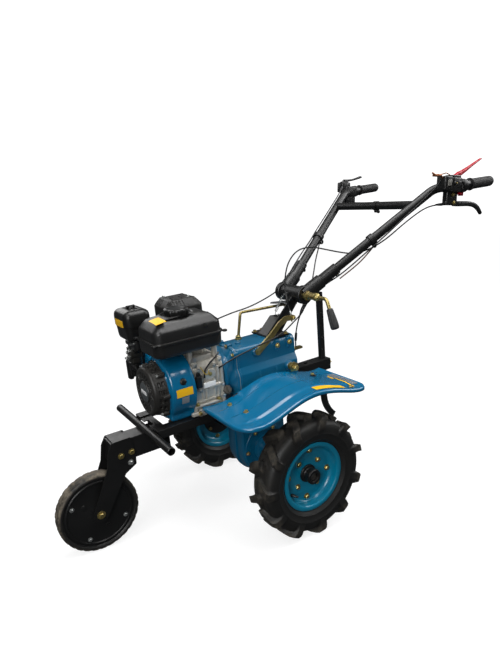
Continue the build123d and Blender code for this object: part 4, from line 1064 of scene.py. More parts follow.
def starter_form():
    """Cone with a round front edge, vents sunk into its side and face."""
    side = [(88.5 - 9.0 * t, 354 + 32 * t) for t in np.linspace(0, 1, 36)]
    curve = np.linspace(0.15, math.pi / 2, 9)
    bend = [(68.5 + 11 * math.cos(a), 387 + 11 * math.sin(a)) for a in curve]
    face = [(r, 398.0) for r in np.linspace(67, 40, 28)]
    badge = [
        (38, 397), (37, 395.4), (35.5, 395.4), (34.5, 397.6), (33.5, 399), (30, 399.8), (0, 400),
    ]
    profile = np.array([(89.5, 348), (91, 349), (91, 353), (90, 354)] + side + bend + face + badge)
    radius, reach = profile[:, :1], profile[:, 1:]
    turn = full_turn(400)
    slots = turn * 20 / (2 * math.pi)
    slot = smooth(0.14, 0.2, slots % 1) * (1 - smooth(0.74, 0.8, slots % 1))
    bands = (reach - 358) / 13
    band = smooth(0.06, 0.2, bands % 1) * (1 - smooth(0.7, 0.84, bands % 1))
    band = band * ((bands > 0) & (bands < 2))
    sunk = 6.5 * slot * band * (np.floor(slots) % 5 != 2)
    swirl = (turn * 24 / (2 * math.pi) + (radius - 40) * 0.035) % 1
    vent = smooth(0.1, 0.22, swirl) * (1 - smooth(0.58, 0.7, swirl)) * smooth(44, 47, radius)
    vent = vent * (1 - smooth(62, 65, radius))
    vent = vent * (reach > 397) * (np.abs(np.sin(turn + 0.5)) > 0.25)
    out = radius - sunk
    rows = (reach - 4 * vent, out * np.cos(turn), CRANK_Z + out * np.sin(turn))
    return skin(np.stack(rows, -1))


STARTER_CORNERS = (45, 135, 225, 315)


def round_starter(x, angles):
    """Places on the circle of the starter's ears."""
    return [(x, 89 * math.cos(a), CRANK_Z + 89 * math.sin(a)) for a in np.radians(angles)]


starter_ear = [(0, 374), (6, 374), (7, 372), (9, 354), (0, 354)]
ear_places = round_starter(0, STARTER_CORNERS + (0, 180))
starter_lugs = joined(facing_forward(starter_ear, *place) for place in ear_places)
piece(
    "starter_cover", starter_form() + starter_lugs, COVER_BLACK, "black_plastic",
    stands_for="recoil_starter", crease=40,
)
starter_bolts = bolts(round_starter(374, STARTER_CORNERS), FORWARD, 4.6, 4)
fasteners("starter_bolts", starter_bolts, ZINC)
badge_profile = [(0, 0.8), (30.5, 0.5), (31.5, 0), (31.5, -1), (0, -1)]
badge = facing_forward(badge_profile, 400.2, 0, CRANK_Z, 64)
piece("starter_badge", badge, plain("badge_grey", linear(82, 86, 88), 0.4), "black_plastic")
patch = box((-20, 20), (-6, 6), (0, 0.7), 1.5, 0.2, "zxy").turn(-4, "X")
piece("starter_patch", patch.at(401, 0, CRANK_Z), WHITE_LABEL, "black_plastic")
pull = lathe([(0, 0), (7, 1), (9, 5), (8, 12), (6, 24), (8, 36), (7, 42), (0, 44)], 24)
pull = pull.stretch(z=0.7).aim((372, -86, CRANK_Z + 34), (0.25, -0.86, 0.45))
piece("starter_handle", pull, PLASTIC, "black_plastic")

# Engine: crankcase, cylinder and head

CASE_BOSSES = ((190, 372), (246, 368), (164, 300), (246, 300), (164, 262))


def crankcase_form():
    """Main casting with a bolted side cover, ribs, bosses, pipes and feet."""
    ring = arc_path([(-82, 226), (82, 226), (82, 392), (-82, 392)], [14, 14, 34, 34], 8, True)
    wall = [
        (154, 4), (155, 1), (157, 0), (168, 0), (169, 2.4), (171, 3), (259, 3), (261, 2.4),
        (262, -1), (267, -1.6), (270, -1),
    ]
    main = stack(ring, wall, "zxy")
    flange = stack(ring, [(160, -3.5), (161, -5), (166, -5), (167, -3.5)], "zxy")
    feet = both(box((160, 262), (52, 88), (214, 226), 5, 2))
    rail = both(bar((164, 84, 232), (258, 84, 232), 7, 1.5))
    foot_ends = both(joined(box((x - 13, x + 13), (74, 89), (214, 230), 5, 2) for x in (174, 248)))
    rib_x, shelf_z = (178, 192, 222, 236), (262, 296, 334)
    ribs = boxes(*(((x - 1.8, x + 1.8), (76, 85.5), (262, 352), 1.2, 1) for x in rib_x))
    shelves = boxes(*(((170, 252), (76, 84.6), (z - 2, z + 2), 1.5, 1.2) for z in shelf_z))
    pipe = bar((170, 84, 304), (216, 84, 304), 6.5, 1.5)
    pipe = pipe + bar((178, 84, 322), (178, 84, 366), 5, 1.2)
    oval = lathe([(0, 88), (15, 88), (17, 86.5), (18, 82), (18, 76), (0, 76)], 40)
    oval = oval.stretch(x=1.25).at(206, 0, 346)
    boss = lathe([(0, 90), (5.5, 90), (6.5, 88), (7, 78), (0, 78)], 20)
    small = both(joined(boss.at(x, 0, z) for x, z in CASE_BOSSES))
    top = boxes(
        ((176, 244), (-50, 60), (386, 404), 10, 3), ((192, 232), (-20, 30), (400, 418), 6, 3),
    )
    posts = joined(bar((x, 52, 388), (x, 52, 443), 9.5, 1.5) for x in (165, 254))
    arms = joined(box((x - 8, x + 8), (40, 84), (378, 392), 4, 2) for x in (165, 254))
    ledge = boxes(
        ((180, 269), (80, 93), (247, 254), 3, 1.5), ((238, 286), (80, 94), (221, 233), 4, 1.5),
    )
    return joined((
        main, flange, feet, rail, foot_ends, both(ribs), both(shelves), both(pipe), both(oval),
        small, top, posts, arms, both(ledge),
    ))


piece("crankcase", crankcase_form(), CAST, "aluminium", crease=CAST_CREASE)


def along_cylinder(form):
    """A form drawn with the cylinder along -Y and level, tilted up to the machine's right."""
    return form.turn(-25).at(z=CRANK_Z)


FIN = ((0, 9), (0.4, 0.8), (1, 0), (3, 0), (3.6, 0.8), (4, 9))
fins = [(reach + step, amount) for reach in range(74, 168, 10) for step, amount in FIN]
barrel_ring = rounded((164, 261), (-55, 55), 14)
barrel = stack(barrel_ring, [(58, 9)] + fins + [(166, 9), (166, 2), (168, 2)], "xzy").stretch(y=-1)
piece(
    "cylinder_finned", along_cylinder(barrel), CAST, "aluminium", stands_for="engine_block",
    crease=CAST_CREASE,
)
head_fins = [
    (168.3, 2), (172, 2), (172, 8), (177, 8), (177.4, 1), (180, 1), (180.4, 8), (186, 8),
    (186.4, 1), (189, 1), (189.4, 8), (196, 8),
]
head = stack(barrel_ring, head_fins, "xzy").stretch(y=-1)
lid = stack(rounded((172, 252), (-44, 44), 16), [(194, 0), (212, 0), (217, 2.5), (220, 8)], "xzy")
lid = lid + stack(rounded((168, 256), (-48, 48), 18), eased((196, 200), 1), "xzy")
head = head + lid.stretch(y=-1)
piece(
    "cylinder_head_finned", along_cylinder(head), CAST, "aluminium", stands_for="cylinder_head",
    crease=CAST_CREASE,
)
cover_bolts = bolts([(x, -200, z) for x in (174, 250) for z in (-42, 42)], RIGHT, 4.6, 4)
fasteners("head_bolts", along_cylinder(cover_bolts))
cap_form = along_cylinder(rod([(258, -188, -10), (278, -190, -10), (286, -188, 10)], 8, 6.5, 16))
piece("plug_cap", cap_form, PLASTIC, "black_plastic")

foot_bolts = bolts([(174, 89, 222), (260, 93, 227)], LEFT, 6, 5)
foot_bolts = foot_bolts + bolts([(184, 87, 254), (262, 87, 254)], UP, 6, 5)
case_bolts_gold = both(foot_bolts) + both(bolts([(206, 88, 346)], LEFT, 5, 4))
fasteners("foot_bolts", case_bolts_gold)
case_bolts_white = both(bolts([(x, 90, z) for x, z in CASE_BOSSES], LEFT, 4.8, 4))
case_bolts_white = case_bolts_white + bolts([(165, 84, 385), (254, 84, 385)], LEFT, 5, 4)
fasteners("case_bolts", case_bolts_white, ZINC)


def filler_lobes(radius, turn):
    """Eight lobes round the filler's rim, to turn it by hand."""
    return radius * (1 + 0.07 * np.cos(8 * turn) * (radius > 13))


filler_face = [(0, 18), (12, 18), (14.5, 15), (14.5, 8), (11, 6), (10, 0), (0, 0)]
filler = lathe(filler_face, 48, wave=filler_lobes)
filler = filler + box((-3.5, 3.5), (16, 22), (-11, 11), 2, 1.5)
piece(
    "oil_filler", filler.aim((152, 78, 272), (-0.1, 0.93, 0.35)), FILLER_GREY, "black_plastic",
    crease=CAST_CREASE,
)
sensor = boxes(
    ((240, 261), (83, 97), (312, 350), 4, 2), ((244, 257), (85, 94), (348, 362), 3, 1.5),
)
piece("case_plate", box((190, 234), (84, 90), (304, 321), 1, 0.3), WHITE_LABEL, "aluminium")
piece("switch_box", sensor, PLASTIC, "black_plastic")
bracket = plate([(246, 372), (262, 372), (264, 402), (252, 410), (244, 402)], (72, 75), 3)
piece("governor_plate", bracket, ZINC, "zinc")
loom = [(230, 91, 340), (228, 95, 366), (206, 92, 384), (180, 84, 396), (160, 72, 404)]
piece("switch_lead", rod(loom, 12, 2.8, 12, 6), CABLE, "cable")
lead = [(240, 90, 378), (228, 96, 352), (218, 97, 350), (212, 92, 362)]
piece("yellow_lead", rod(lead, 8, 1.3, 8, 6), YELLOW_WIRE, "cable")
link = rod([(250, 60, 420), (262, 40, 424), (300, -60, 424), (338, -118, 420)], 10, 1.6, 8, 5)
piece("governor_link", link, ZINC, "zinc")

# Engine: fuel tank

TANK_X, TANK_Y = (159.0, 398.0), (-25.0, 136.0)
CAP = (283.0, 55.5)
CAP_HOLE = 50
TANK_STEPS = 160
tub_ring = even_ring(rounded((164, 393), (-20, 131), 30, 10), TANK_STEPS, (393, 55.5))
tub = stack(tub_ring, [
    (444, 40), (444, 16), (445, 9), (447.5, 4.5), (452, 1.5), (458, 0.4), (470, 0), (488, -1),
])
lip_ring = even_ring(rounded(TANK_X, TANK_Y, 34, 10), TANK_STEPS, (398, 55.5))
lip = stack(lip_ring, [
    (485.6, 5), (486, 1.4), (487, 0.2), (489, 0), (491.6, 0.2), (493, 1.2), (493.6, 5),
])
cap_hole = circle(CAP_HOLE, TANK_STEPS, CAP, start=0)
dome = [
    (493, 0.6), (508, 1.4), (519, 2.2), (523, 3.2), (526, 5.4), (529, 8.6), (535, 15), (541, 21),
    (546, 26.6), (550, 34),
]
lid_rows = [at_height(inset(tub_ring, amount), z) for z, amount in dome]
shoulder = inset(tub_ring, 34)
crown = ((0.2, 551.6), (0.4, 553.4), (0.6, 555), (0.8, 556.4), (0.93, 557.4), (1.0, 557.6))
for share, z in crown:
    lid_rows.append(at_height(shoulder + share * (cap_hole - shoulder), z))
for radius, z in [(48.4, 557), (47, 555), (46, 552.4), (44, 551.6), (20, 551.6), (0.5, 551.6)]:
    lid_rows.append(at_height(circle(radius, TANK_STEPS, CAP, start=0), z))
ear_profile = [(0, -3), (7, -3), (8, -2), (8, 2), (7, 3), (0, 3)]
ear_spots = ((395, 122), (163, 132), (395, -12), (163, -20))
ears = joined(upright(ear_profile, x, y, 489.6, 24) for x, y in ear_spots)
embossed = lathe([(0, 1.2), (7, 1.2), (8.4, 0.4), (8.6, -1), (0, -1)], 6)
embossed = embossed.aim((226, 129.6, 520), (0, 1, 0.1))
piece(
    "tank_shell", joined((tub, lip, skin(lid_rows), ears, embossed)), TANK_BLACK, "black_satin",
    stands_for="fuel_tank", crease=40,
)


def lobes(radius, turn):
    """Grip round the screw cap: ten shallow lobes on its side."""
    return radius * (1 + 0.045 * np.cos(10 * turn) * smooth(30, 36, radius))


cap_face = [
    (30, 551), (34, 552), (36.5, 555), (37.4, 560), (38, 564), (38, 567.5), (36.6, 571),
    (33.5, 573.4), (29, 574), (24, 573), (18, 572), (0, 571.6),
]
screw_cap = upright(cap_face, *CAP, steps=120, wave=lobes)
piece("tank_cap", screw_cap, PLASTIC, "black_plastic", stands_for="fuel_cap", crease=40)


def lid_height(x, y):
    """Height of the lid's top near its front, where it falls away from the cap's recess."""
    past = np.hypot(x - CAP[0], y - CAP[1]) - CAP_HOLE
    return 557.6 - 0.00165 * past ** 2 - 0.045 * past


gx, gy = np.meshgrid(np.linspace(345, 378, 10), np.linspace(64, 118, 10), indexing="ij")
top_label = open_skin(np.stack((gx, gy, lid_height(gx, gy) + 0.8), -1))
piece("tank_label", top_label, YELLOW_LABEL, "black_satin")

# Engine: air cleaner, carburettor and muffler

cleaner_ring = even_ring(rounded((320, 410), (-170, -49), 24, 9), 120, (410, -110))
cleaner = stack(cleaner_ring, [
    (464, 60), (464, 24), (465, 15), (468, 10), (475, 7), (495, 5), (508, 3.4), (510, 3.4),
    (511, 1.4), (513, 0.8), (516, 0.6), (540, 0), (549, 1), (555, 3.6), (559.5, 8.5), (562.5, 15),
    (564, 22), (564.6, 27), (564, 29), (561.5, 30.5), (560, 31.4), (559.6, 40), (559.6, 44),
])
neck = boxes(
    ((354, 382), (-148, -70), (428, 468), 10, 3), ((350, 386), (-154, -96), (440, 454), 8, 3),
)
knob_profile = [(0, 559), (15, 559), (16, 560), (14, 562), (9, 563), (8, 569), (6, 571), (0, 571)]
knob = upright(knob_profile, 365, -110)
wing = box((350, 380), (-113, -107), (563, 574), 2.5, 2)
piece(
    "cleaner_housing", cleaner + neck + knob + wing, PLASTIC, "black_plastic",
    stands_for="air_cleaner", crease=38,
)
piece(
    "cleaner_label", box((408.6, 410.6), (-142, -76), (513, 535), 0.5, 0.3), YELLOW_LABEL,
    "black_plastic",
)

carb = box((352, 384), (-158, -112), (376, 428), 6, 3)
bowl = upright([(0, 350), (13, 350), (17, 353), (18, 358), (18, 376), (0, 376)], 366, -126)
throat = bar((346, -126, 405), (388, -126, 405), 17, 2)
tap = box((354, 379), (-174, -146), (336, 370), 6, 4)
tap = tap + upright([(0, 318), (9, 318), (13, 322), (14, 338), (0, 338)], 365, -160)
tap = tap + box((364, 382), (-196, -168), (304, 372), 9, 5)
piece(
    "carburettor_cast", carb + throat, DARK_CAST, "aluminium", stands_for="carburettor",
    crease=CAST_CREASE,
)
lever = box((358, 376), (-112, -106), (410, 440), 3, 2)
lever = lever + bar((366, -106, 425), (366, -98, 425), 8, 1.5)
piece("carburettor_plastics", bowl + tap + lever, PLASTIC, "black_plastic", crease=35)
trim_places = [(384, -122, 420), (384, -150, 386), (388, -126, 400), (384, -140, 412)]
trim = bolts(trim_places, FORWARD, 6, 6) + bar((382, -70, 456), (388, -98, 448), 4, 1)
trim = trim + bar((366, -174, 378), (374, -206, 374), 5, 1.5)
fasteners("carburettor_zinc", trim, ZINC)
hose = [(356, -160, 330), (344, -150, 326), (352, -100, 362), (362, -66, 430), (372, -16, 448)]
piece("fuel_hose", rod(hose, 14, 4, 12), CABLE, "cable")


def muffler_form():
    """Heat guard round the silencer: a chamfered box whose slots are sunk into its skin."""
    steps, middle = 400, np.array((201.5, -103.0))
    ring = even_ring(rounded((137, 266), (-170, -36), 22, 8), steps, (266, -103))
    levels = [(463, 30), (463, 3), (464, 1), (466, 0)]
    levels += [(z, 0) for z in np.linspace(480, 544, 22)]
    levels += [(546, 0.2), (549, 1.6), (556, 7), (562, 12.5), (566, 16.4), (569, 19)]
    levels += [(571, 22), (572, 26)]
    rows = np.array([at_height(inset(ring, amount), z) for z, amount in levels])
    share = np.arange(steps) / steps
    step = (share * 44) % 1
    slot = smooth(0.18, 0.32, step) * (1 - smooth(0.62, 0.76, step))
    faces = (share < 0.09) | (share > 0.91)
    for corner in (0.25, 0.5, 0.75):
        faces = faces | (np.abs(share - corner) < 0.09)
    height = rows[..., 2]
    sunk = slot * faces * smooth(552, 554, height) * (1 - smooth(565, 568, height))
    rows[..., :2] += (middle - rows[..., :2]) * 0.05 * sunk[..., None]
    last = rows[-1][:, :2]
    top = [
        at_height(last + (middle - last) * amount, 572 + 1.5 * amount)
        for amount in np.linspace(0, 1, 14)[1:]
    ]
    return skin(np.concatenate((rows, np.array(top))))


# Dark slabs on the heat guard's top: painted shade standing for the openings of its slots.
slot_shade = joined(
    box((x - 3, x + 3), (y - 13, y + 13), (572.6, 574), 2.9, 0.3)
    for x, y in ((180, -120), (196, -88), (216, -112), (230, -86))
)
pipe = rod([(190, -150, 470), (190, -152, 452), (192, -166, 430)], 12, 15, 24)
piece(
    "muffler_guard", muffler_form() + pipe, MUFFLER_BLACK, "black_satin", stands_for="muffler",
    crease=35,
)
piece("muffler_slot_shade", slot_shade, DARK, "black_satin")
fasteners("muffler_screws", bolts([(176, -70, 573), (236, -136, 573)], UP, 5, 3.5), ZINC)
piece(
    "muffler_label", box((196, 228), (-37, -33), (533, 541), 0.5, 0.3), YELLOW_LABEL,
    "black_satin",
)

# Handlebar column and linkage

softened("handlebar_column", FRAME_BLACK, ease=1.2)
softened("hitch", FRAME_BLACK, ease=1.5)
softened("depth_stake", FRAME_BLACK, "stake", 1.2)
softened("release_lever", GOLD, ease=1.4)
softened("shift_arms", GOLD, ease=0.8)
gate = [(-165, 21), (-119, 21), (-111, -20), (-88, -40), (-100, -50), (-165, -44)]
gate = stack(arc_path(gate, 3, 4, True), eased((501.7, 506.3), 0.8))
piece("gate_plate_faces", gate, GREY_PLATE, "black_paint", place=standing, crease=CAST_CREASE)
foot_places = [(x, y, 399) for x in (-127, -66) for y in (-53, 53)] + [(-96, -53, 399)]
fasteners("column_bolts", bolts(foot_places, UP, 6.5, 5))
arm_nuts = both(bolts([(-112, 96, 290), (-112, 119, 290)], LEFT, 10, 6, 1.2))
arm_nuts = arm_nuts + bolts([(-184, 22, 321)], REARWARD, 7, 5, 1.2)
tabs = both(plate([(-126, 276), (-98, 276), (-94, 300), (-112, 310), (-128, 300)], (108, 111), 4))
fasteners("shift_nuts", arm_nuts + tabs)
clevis = bar((-148.4, 58, 455.6), (-148.4, 82, 455.6), 5, 1)
clevis = clevis + bar((-148.4, 62, 455.6), (-151, 62, 438), 3, 0.8)
fasteners("lever_clevis", clevis + bolts([(-148.4, 78, 455.6)], LEFT, 6, 4))
screw = lathe([(0, 22), (4, 22), (5, 21), (5, 9), (9, 8), (10, 6), (10, 0), (0, 0)], 24)
handle = bar((-366, -15, 219.5), (-366, 15, 219.5), 3, 1)
piece(
    "stake_clamp", screw.aim((-353, 0, 219.5), REARWARD) + handle, GOLD, "zinc",
    stands_for="stake_screw", crease=TURNED_CREASE,
)
pad_bolts = bolts([(-165, y, z) for y in (-36, 36) for z in (212, 250)], REARWARD, 6.5, 5)
fasteners("hitch_bolts", pad_bolts)

ROD_Y = -35.3
selector = rod([(17, ROD_Y, 396), (-1, ROD_Y, 486), (-196, ROD_Y, 478)], 9, 5, 20, 9)
post = upright([(0, 393), (12, 393), (12, 397), (9, 398), (9, 405), (6, 407), (0, 407)], 17, ROD_Y)
eye = lathe([(4, -3), (10, -3), (10, 3), (4, 3)], 32, True).at(-199, ROD_Y, 478)
piece(
    "selector_rod", selector + post + eye, GOLD, "zinc", stands_for="selector",
    crease=TURNED_CREASE,
)


def helix(start, end, radius, wire, turns, steps=18):
    """Wire wound round the line between two points of the XZ plane."""
    start, end = np.asarray(start, float), np.asarray(end, float)
    share = np.linspace(0, 1, turns * steps)[:, None]
    along = (end - start) / np.linalg.norm(end - start)
    side, over = np.array(LEFT, float), np.cross(along, LEFT)
    swing = share * turns * 2 * math.pi
    wound = radius * (np.cos(swing) * side + np.sin(swing) * over)
    return tube(start + share * (end - start) + wound, wire, 8)


coil = helix((-115, 0, 530), (-84, 0, 480), 4.6, 1.2, 13)
hooks = rod([(-115, 0, 530), (-120, 4, 542), (-135, 2, 545), (-139, 0, 533)], 4, 1.3)
hooks = hooks + rod([(-84, 0, 480), (-80, 3, 470), (-90, 0, 461), (-98, 0, 470)], 3, 1.3)
piece(
    "spring_coil", coil + hooks, ZINC, "zinc", place=standing, stands_for="return_spring",
    crease=CURVED_CREASE,
)

# Handlebar: arms, tubes, crossbar and grips

SOCKET = np.array((-282.0, 98.0, 631.0))
JOINT = np.array((-550.0, 202.0, 848.0))
ALONG = (JOINT - SOCKET) / np.linalg.norm(JOINT - SOCKET)
GRIP_FROM, GRIP_TO = np.array((-722.0, 277.0, 917.0)), np.array((-862.0, 286.0, 935.0))
REACH = (GRIP_TO - GRIP_FROM) / np.linalg.norm(GRIP_TO - GRIP_FROM)
BELOW = np.cross(ALONG, LEFT)
BELOW = BELOW if BELOW[2] < 0 else -BELOW


def on_handlebar(name, form, finish, slot, **options):
    """A finished piece that rides on the handlebar."""
    return piece(name, form, finish, slot, body="handlebar", place=standing, **options)


def arm_form():
    """Ear on the pivot that widens into a socket, with a pinch clamp at the socket's end."""
    ear = lathe([(8.3, 48), (31, 48), (33, 50), (33, 68), (31, 70), (8.3, 70)], 56, True)
    ear = ear.at(PIVOT_X, 0, PIVOT_Z)
    knee = SOCKET - ALONG * 72
    path = arc_path([(PIVOT_X, 59, PIVOT_Z), knee, SOCKET - ALONG], 60, 14)
    share = np.linspace(0, 1, len(path))
    radius = 21 + 5.0 * (1 - smooth(0.0, 0.6, share)) + 0.8 * smooth(0.93, 0.96, share)
    radius[-1] -= 1.2
    body = tube(path, radius, 36, (True, False))
    mouth = tube(
        [SOCKET - ALONG, SOCKET, SOCKET - ALONG * 2], [20.6, 16.6, 16.2], 36, (False, False),
    )
    clamp = SOCKET - ALONG * 16 + BELOW * 19
    return ear + body + mouth, bar(clamp - (0, 12, 0), clamp + (0, 12, 0), 7, 1.5), clamp


arm, pinch, clamp_place = arm_form()
on_handlebar("left_arm_socket", arm + pinch, FRAME_BLACK, "black_paint", stands_for="left_arm")
on_handlebar(
    "right_arm_socket", (arm + pinch).stretch(y=-1), FRAME_BLACK, "black_paint",
    stands_for="right_arm",
)
pinch_bolts = both(bolts([clamp_place + (0, 12, 0)], LEFT, 5, 4))
on_handlebar("pinch_bolts", pinch_bolts, ZINC, "zinc", crease=BOLT_CREASE)

foot = SOCKET - ALONG * 59
elbow = JOINT + ALONG * 95
tube_line = arc_path([foot, elbow, GRIP_FROM, GRIP_TO], [90, 45], 16)
handle_form = tube(tube_line, PIPE_RADIUS, 32)
ring_line = np.array([SOCKET + ALONG * (150 + t) for t in (0, 1.5, 20.5, 22)])
collar = tube(ring_line, [17, 20.5, 20.5, 17], 32)
ring_middle = SOCKET + ALONG * 161
eye_place = ring_middle + BELOW * 27
eye = lathe([(3.6, -3), (9.5, -3), (10, 0), (9.5, 3), (3.6, 3)], 28, True).at(*eye_place)
neck = tube([ring_middle + BELOW * 14, eye_place - BELOW * 7], 5.5, 16)
for word, scale in (("left", 1), ("right", -1)):
    on_handlebar(
        f"{word}_handle_tube", handle_form.stretch(y=scale), FRAME_BLACK, "black_paint",
        stands_for=f"{word}_handle",
    )
    on_handlebar(
        f"{word}_clamp_ring", joined((collar, eye, neck)).stretch(y=scale), BLACK, "black_paint",
        crease=CAST_CREASE,
    )

cross = tube([(JOINT[0], y, JOINT[2]) for y in np.linspace(-194, 194, 5)], 15, 32)
clip = lathe([(15.2, -9), (17.4, -9), (17.4, 9), (15.2, 9)], 32, True).at(JOINT[0], 20, JOINT[2])
clip = clip + bar((JOINT[0], 14, JOINT[2] - 20), (JOINT[0], 28, JOINT[2] - 20), 6, 1)
on_handlebar(
    "crossbar_tube", cross + clip, FRAME_BLACK, "black_paint", stands_for="crossbar", crease=40,
)

length = float(np.linalg.norm(GRIP_TO - GRIP_FROM))
grip_profile = [(16.3, 30), (22, 30), (23, 32), (22, 35), (18.4, 36)]
for reach in np.arange(40, length - 12, 4.4):
    grip_profile += [(18.2, reach), (19.2, reach + 0.8), (19.2, reach + 2.6), (18.2, reach + 3.4)]
grip_profile += [
    (19, length - 7), (18.6, length), (16.5, length + 4.5), (12, length + 7), (6, length + 8),
    (0, length + 8),
]


def grip_grooves(radius, turn):
    """Sixteen shallow grooves along the grip."""
    return radius * (1 - 0.012 * (np.cos(16 * turn) > 0.4))


grip_form = lathe(grip_profile, 48, wave=grip_grooves).aim(GRIP_FROM, REACH)
on_handlebar(
    "grips_ribbed", both(grip_form), GRIP, "grip_rubber", stands_for="grips", crease=SOFT_CREASE,
)


def blade(path, halves, widths, y):
    """Lever with an oval section carried along a path in XZ; halves are along the normal."""
    path = np.asarray(path, float)
    share = np.linspace(0, 1, len(path))
    fine = np.linspace(0, 1, 48)
    bends = min(4, len(path) - 1)
    line = np.stack([np.polyval(np.polyfit(share, path[:, i], bends), fine) for i in (0, 1)], -1)
    ahead = np.gradient(line, axis=0)
    ahead /= np.linalg.norm(ahead, axis=1)[:, None]
    normal = np.stack((-ahead[:, 1], ahead[:, 0]), -1)
    ends = np.sqrt(np.clip(np.minimum(fine, 1 - fine) * 60, 0.02, 1))
    half, wide = (
        np.interp(fine, np.linspace(0, 1, len(sizes)), sizes) * ends for sizes in (halves, widths)
    )
    turn = full_turn(24)
    across = np.sign(np.cos(turn)) * np.abs(np.cos(turn)) ** 0.6
    over = np.sign(np.sin(turn)) * np.abs(np.sin(turn)) ** 0.6
    spots = line[:, None] + normal[:, None] * (half[:, None] * over)[..., None]
    x, z = spots[..., 0], spots[..., 1]
    return skin(np.stack((x, y + wide[:, None] * across + 0 * x, z), -1))


# Handlebar: controls

lever_line = [(-690, 853), (-735, 852.5), (-775, 852), (-812, 850), (-840, 838), (-868, 813)]
lever_form = blade(lever_line, [10, 10, 9.5, 9, 8, 6], [7, 7.5, 7.5, 7, 7, 6], 259)
red_line = [(-686, 950), (-712, 956), (-745, 970), (-785, 990), (-843, 1018)]
red_form = blade(red_line, [3, 9, 6.5, 4, 2.5], [7, 7.5, 7, 6, 5], 259)
red_form = red_form + box((-722, -698), (252, 266), (938, 958), 4, 2)
on_handlebar(
    "left_lever_curved", lever_form, BLACK, "black_paint", stands_for="clutch_lever",
    crease=CURVED_CREASE,
)
on_handlebar(
    "right_lever_curved", lever_form.stretch(y=-1).at(z=6), BLACK, "black_paint",
    stands_for="reverse_lever", crease=CURVED_CREASE,
)
on_handlebar(
    "red_lever_curved", red_form, RED, "red_plastic", stands_for="red_lever", crease=CURVED_CREASE,
)
red_tip = boxes(
    ((-734, -722), (254, 272), (880, 896), 4, 2), ((-716, -706), (262, 278), (884, 898), 3, 1.5),
)
on_handlebar("red_catch", red_tip, RED, "red_plastic")

along_grip = np.array((-716.0, 274.0, 915.0))
sleeve = lathe([(16.4, -14), (23, -13), (24, -10), (24, 8), (22, 10), (16.4, 10)], 40, True)
sleeve = sleeve.aim(along_grip, REACH)
housing = boxes(
    ((-702, -640), (238, 290), (893, 942), 12, 4), ((-646, -606), (244, 288), (897, 946), 9, 4),
    ((-700, -650), (246, 282), (938, 951), 6, 3), ((-690, -668), (286, 293), (908, 930), 5, 2),
)
housing = housing + lathe([(0, 296), (7, 296), (8, 294), (8, 286), (0, 286)], 24).at(-655, 0, 922)
housing = housing + box((-730, -700), (250, 292), (897, 935), 8, 4)
bracket = boxes(
    ((-702, -642), (247, 271), (846, 900), 7, 3), ((-722, -640), (250, 268), (846, 862), 5, 3),
)
on_handlebar(
    "left_control_housing", joined((sleeve, housing, bracket)), PLASTIC, "black_plastic",
    stands_for="left_control", crease=35,
)
rocker = box((-636, -616), (286, 292), (912, 934), 4, 2)
on_handlebar(
    "switch_rocker", rocker, plain("rocker_grey", linear(120, 118, 112), 0.5), "black_plastic",
)
screws = bolts([(-672, 272, 884), (-680, 272, 854)], LEFT, 5.5, 4)
screws = screws + bolts([(-655, 296, 922)], LEFT, 3.6, 2.5, 0)
screws = screws + both(bolts([(-672, 272, 884)], LEFT, 5.5, 4))
screws = screws + bolts([(-680, -272, 860)], RIGHT, 5.5, 4)
on_handlebar("control_screws", screws, GOLD, "zinc", crease=BOLT_CREASE)
toggle = rod([(-606, 272, 940), (-590, 268, 950), (-572, 272, 946), (-560, 262, 956)], 5, 3.2)
toggle = toggle + box((-594, -566), (258, 280), (943, 951), 3, 1.5)
toggle = toggle + rod([(-640, 276, 950), (-615, 280, 956), (-596, 270, 950)], 8, 1.8)
copper = plated("copper_lug", linear(196, 132, 96), linear(150, 96, 66), linear(206, 160, 120))
on_handlebar("wire_lugs", toggle, copper, "zinc")

right_clamp = box((-706, -640), (-288, -240), (893, 934), 12, 4)
right_bracket = boxes(
    ((-702, -642), (-271, -247), (858, 898), 6, 3), ((-718, -640), (-268, -250), (852, 868), 5, 3),
)
throttle_dial = upright([(0, 0), (17, 0), (18, 2), (17, 4), (0, 4)], -645, -262, 951, 36)
throttle_box = box((-671, -619), (-283, -245), (910, 951), 10, 4) + throttle_dial
right_sleeve = sleeve.stretch(y=-1)
on_handlebar(
    "right_control_housing", joined((right_clamp, right_bracket, throttle_box, right_sleeve)),
    PLASTIC, "black_plastic", stands_for="right_control", crease=35,
)
thumb_line = [(-640, 958), (-668, 960), (-700, 965), (-743, 977)]
thumb = blade(thumb_line, [5.5, 5, 4, 4.5], [9, 7, 7, 10], -262)
on_handlebar(
    "throttle_thumb", thumb, BLACK, "black_paint", stands_for="throttle_lever",
    crease=CURVED_CREASE,
)
on_handlebar(
    "throttle_pivot", bolts([(-645, -262, 955)], UP, 5.5, 4), ZINC, "zinc", crease=BOLT_CREASE,
)

# Handlebar: clamp bolt, lock crank and its grip

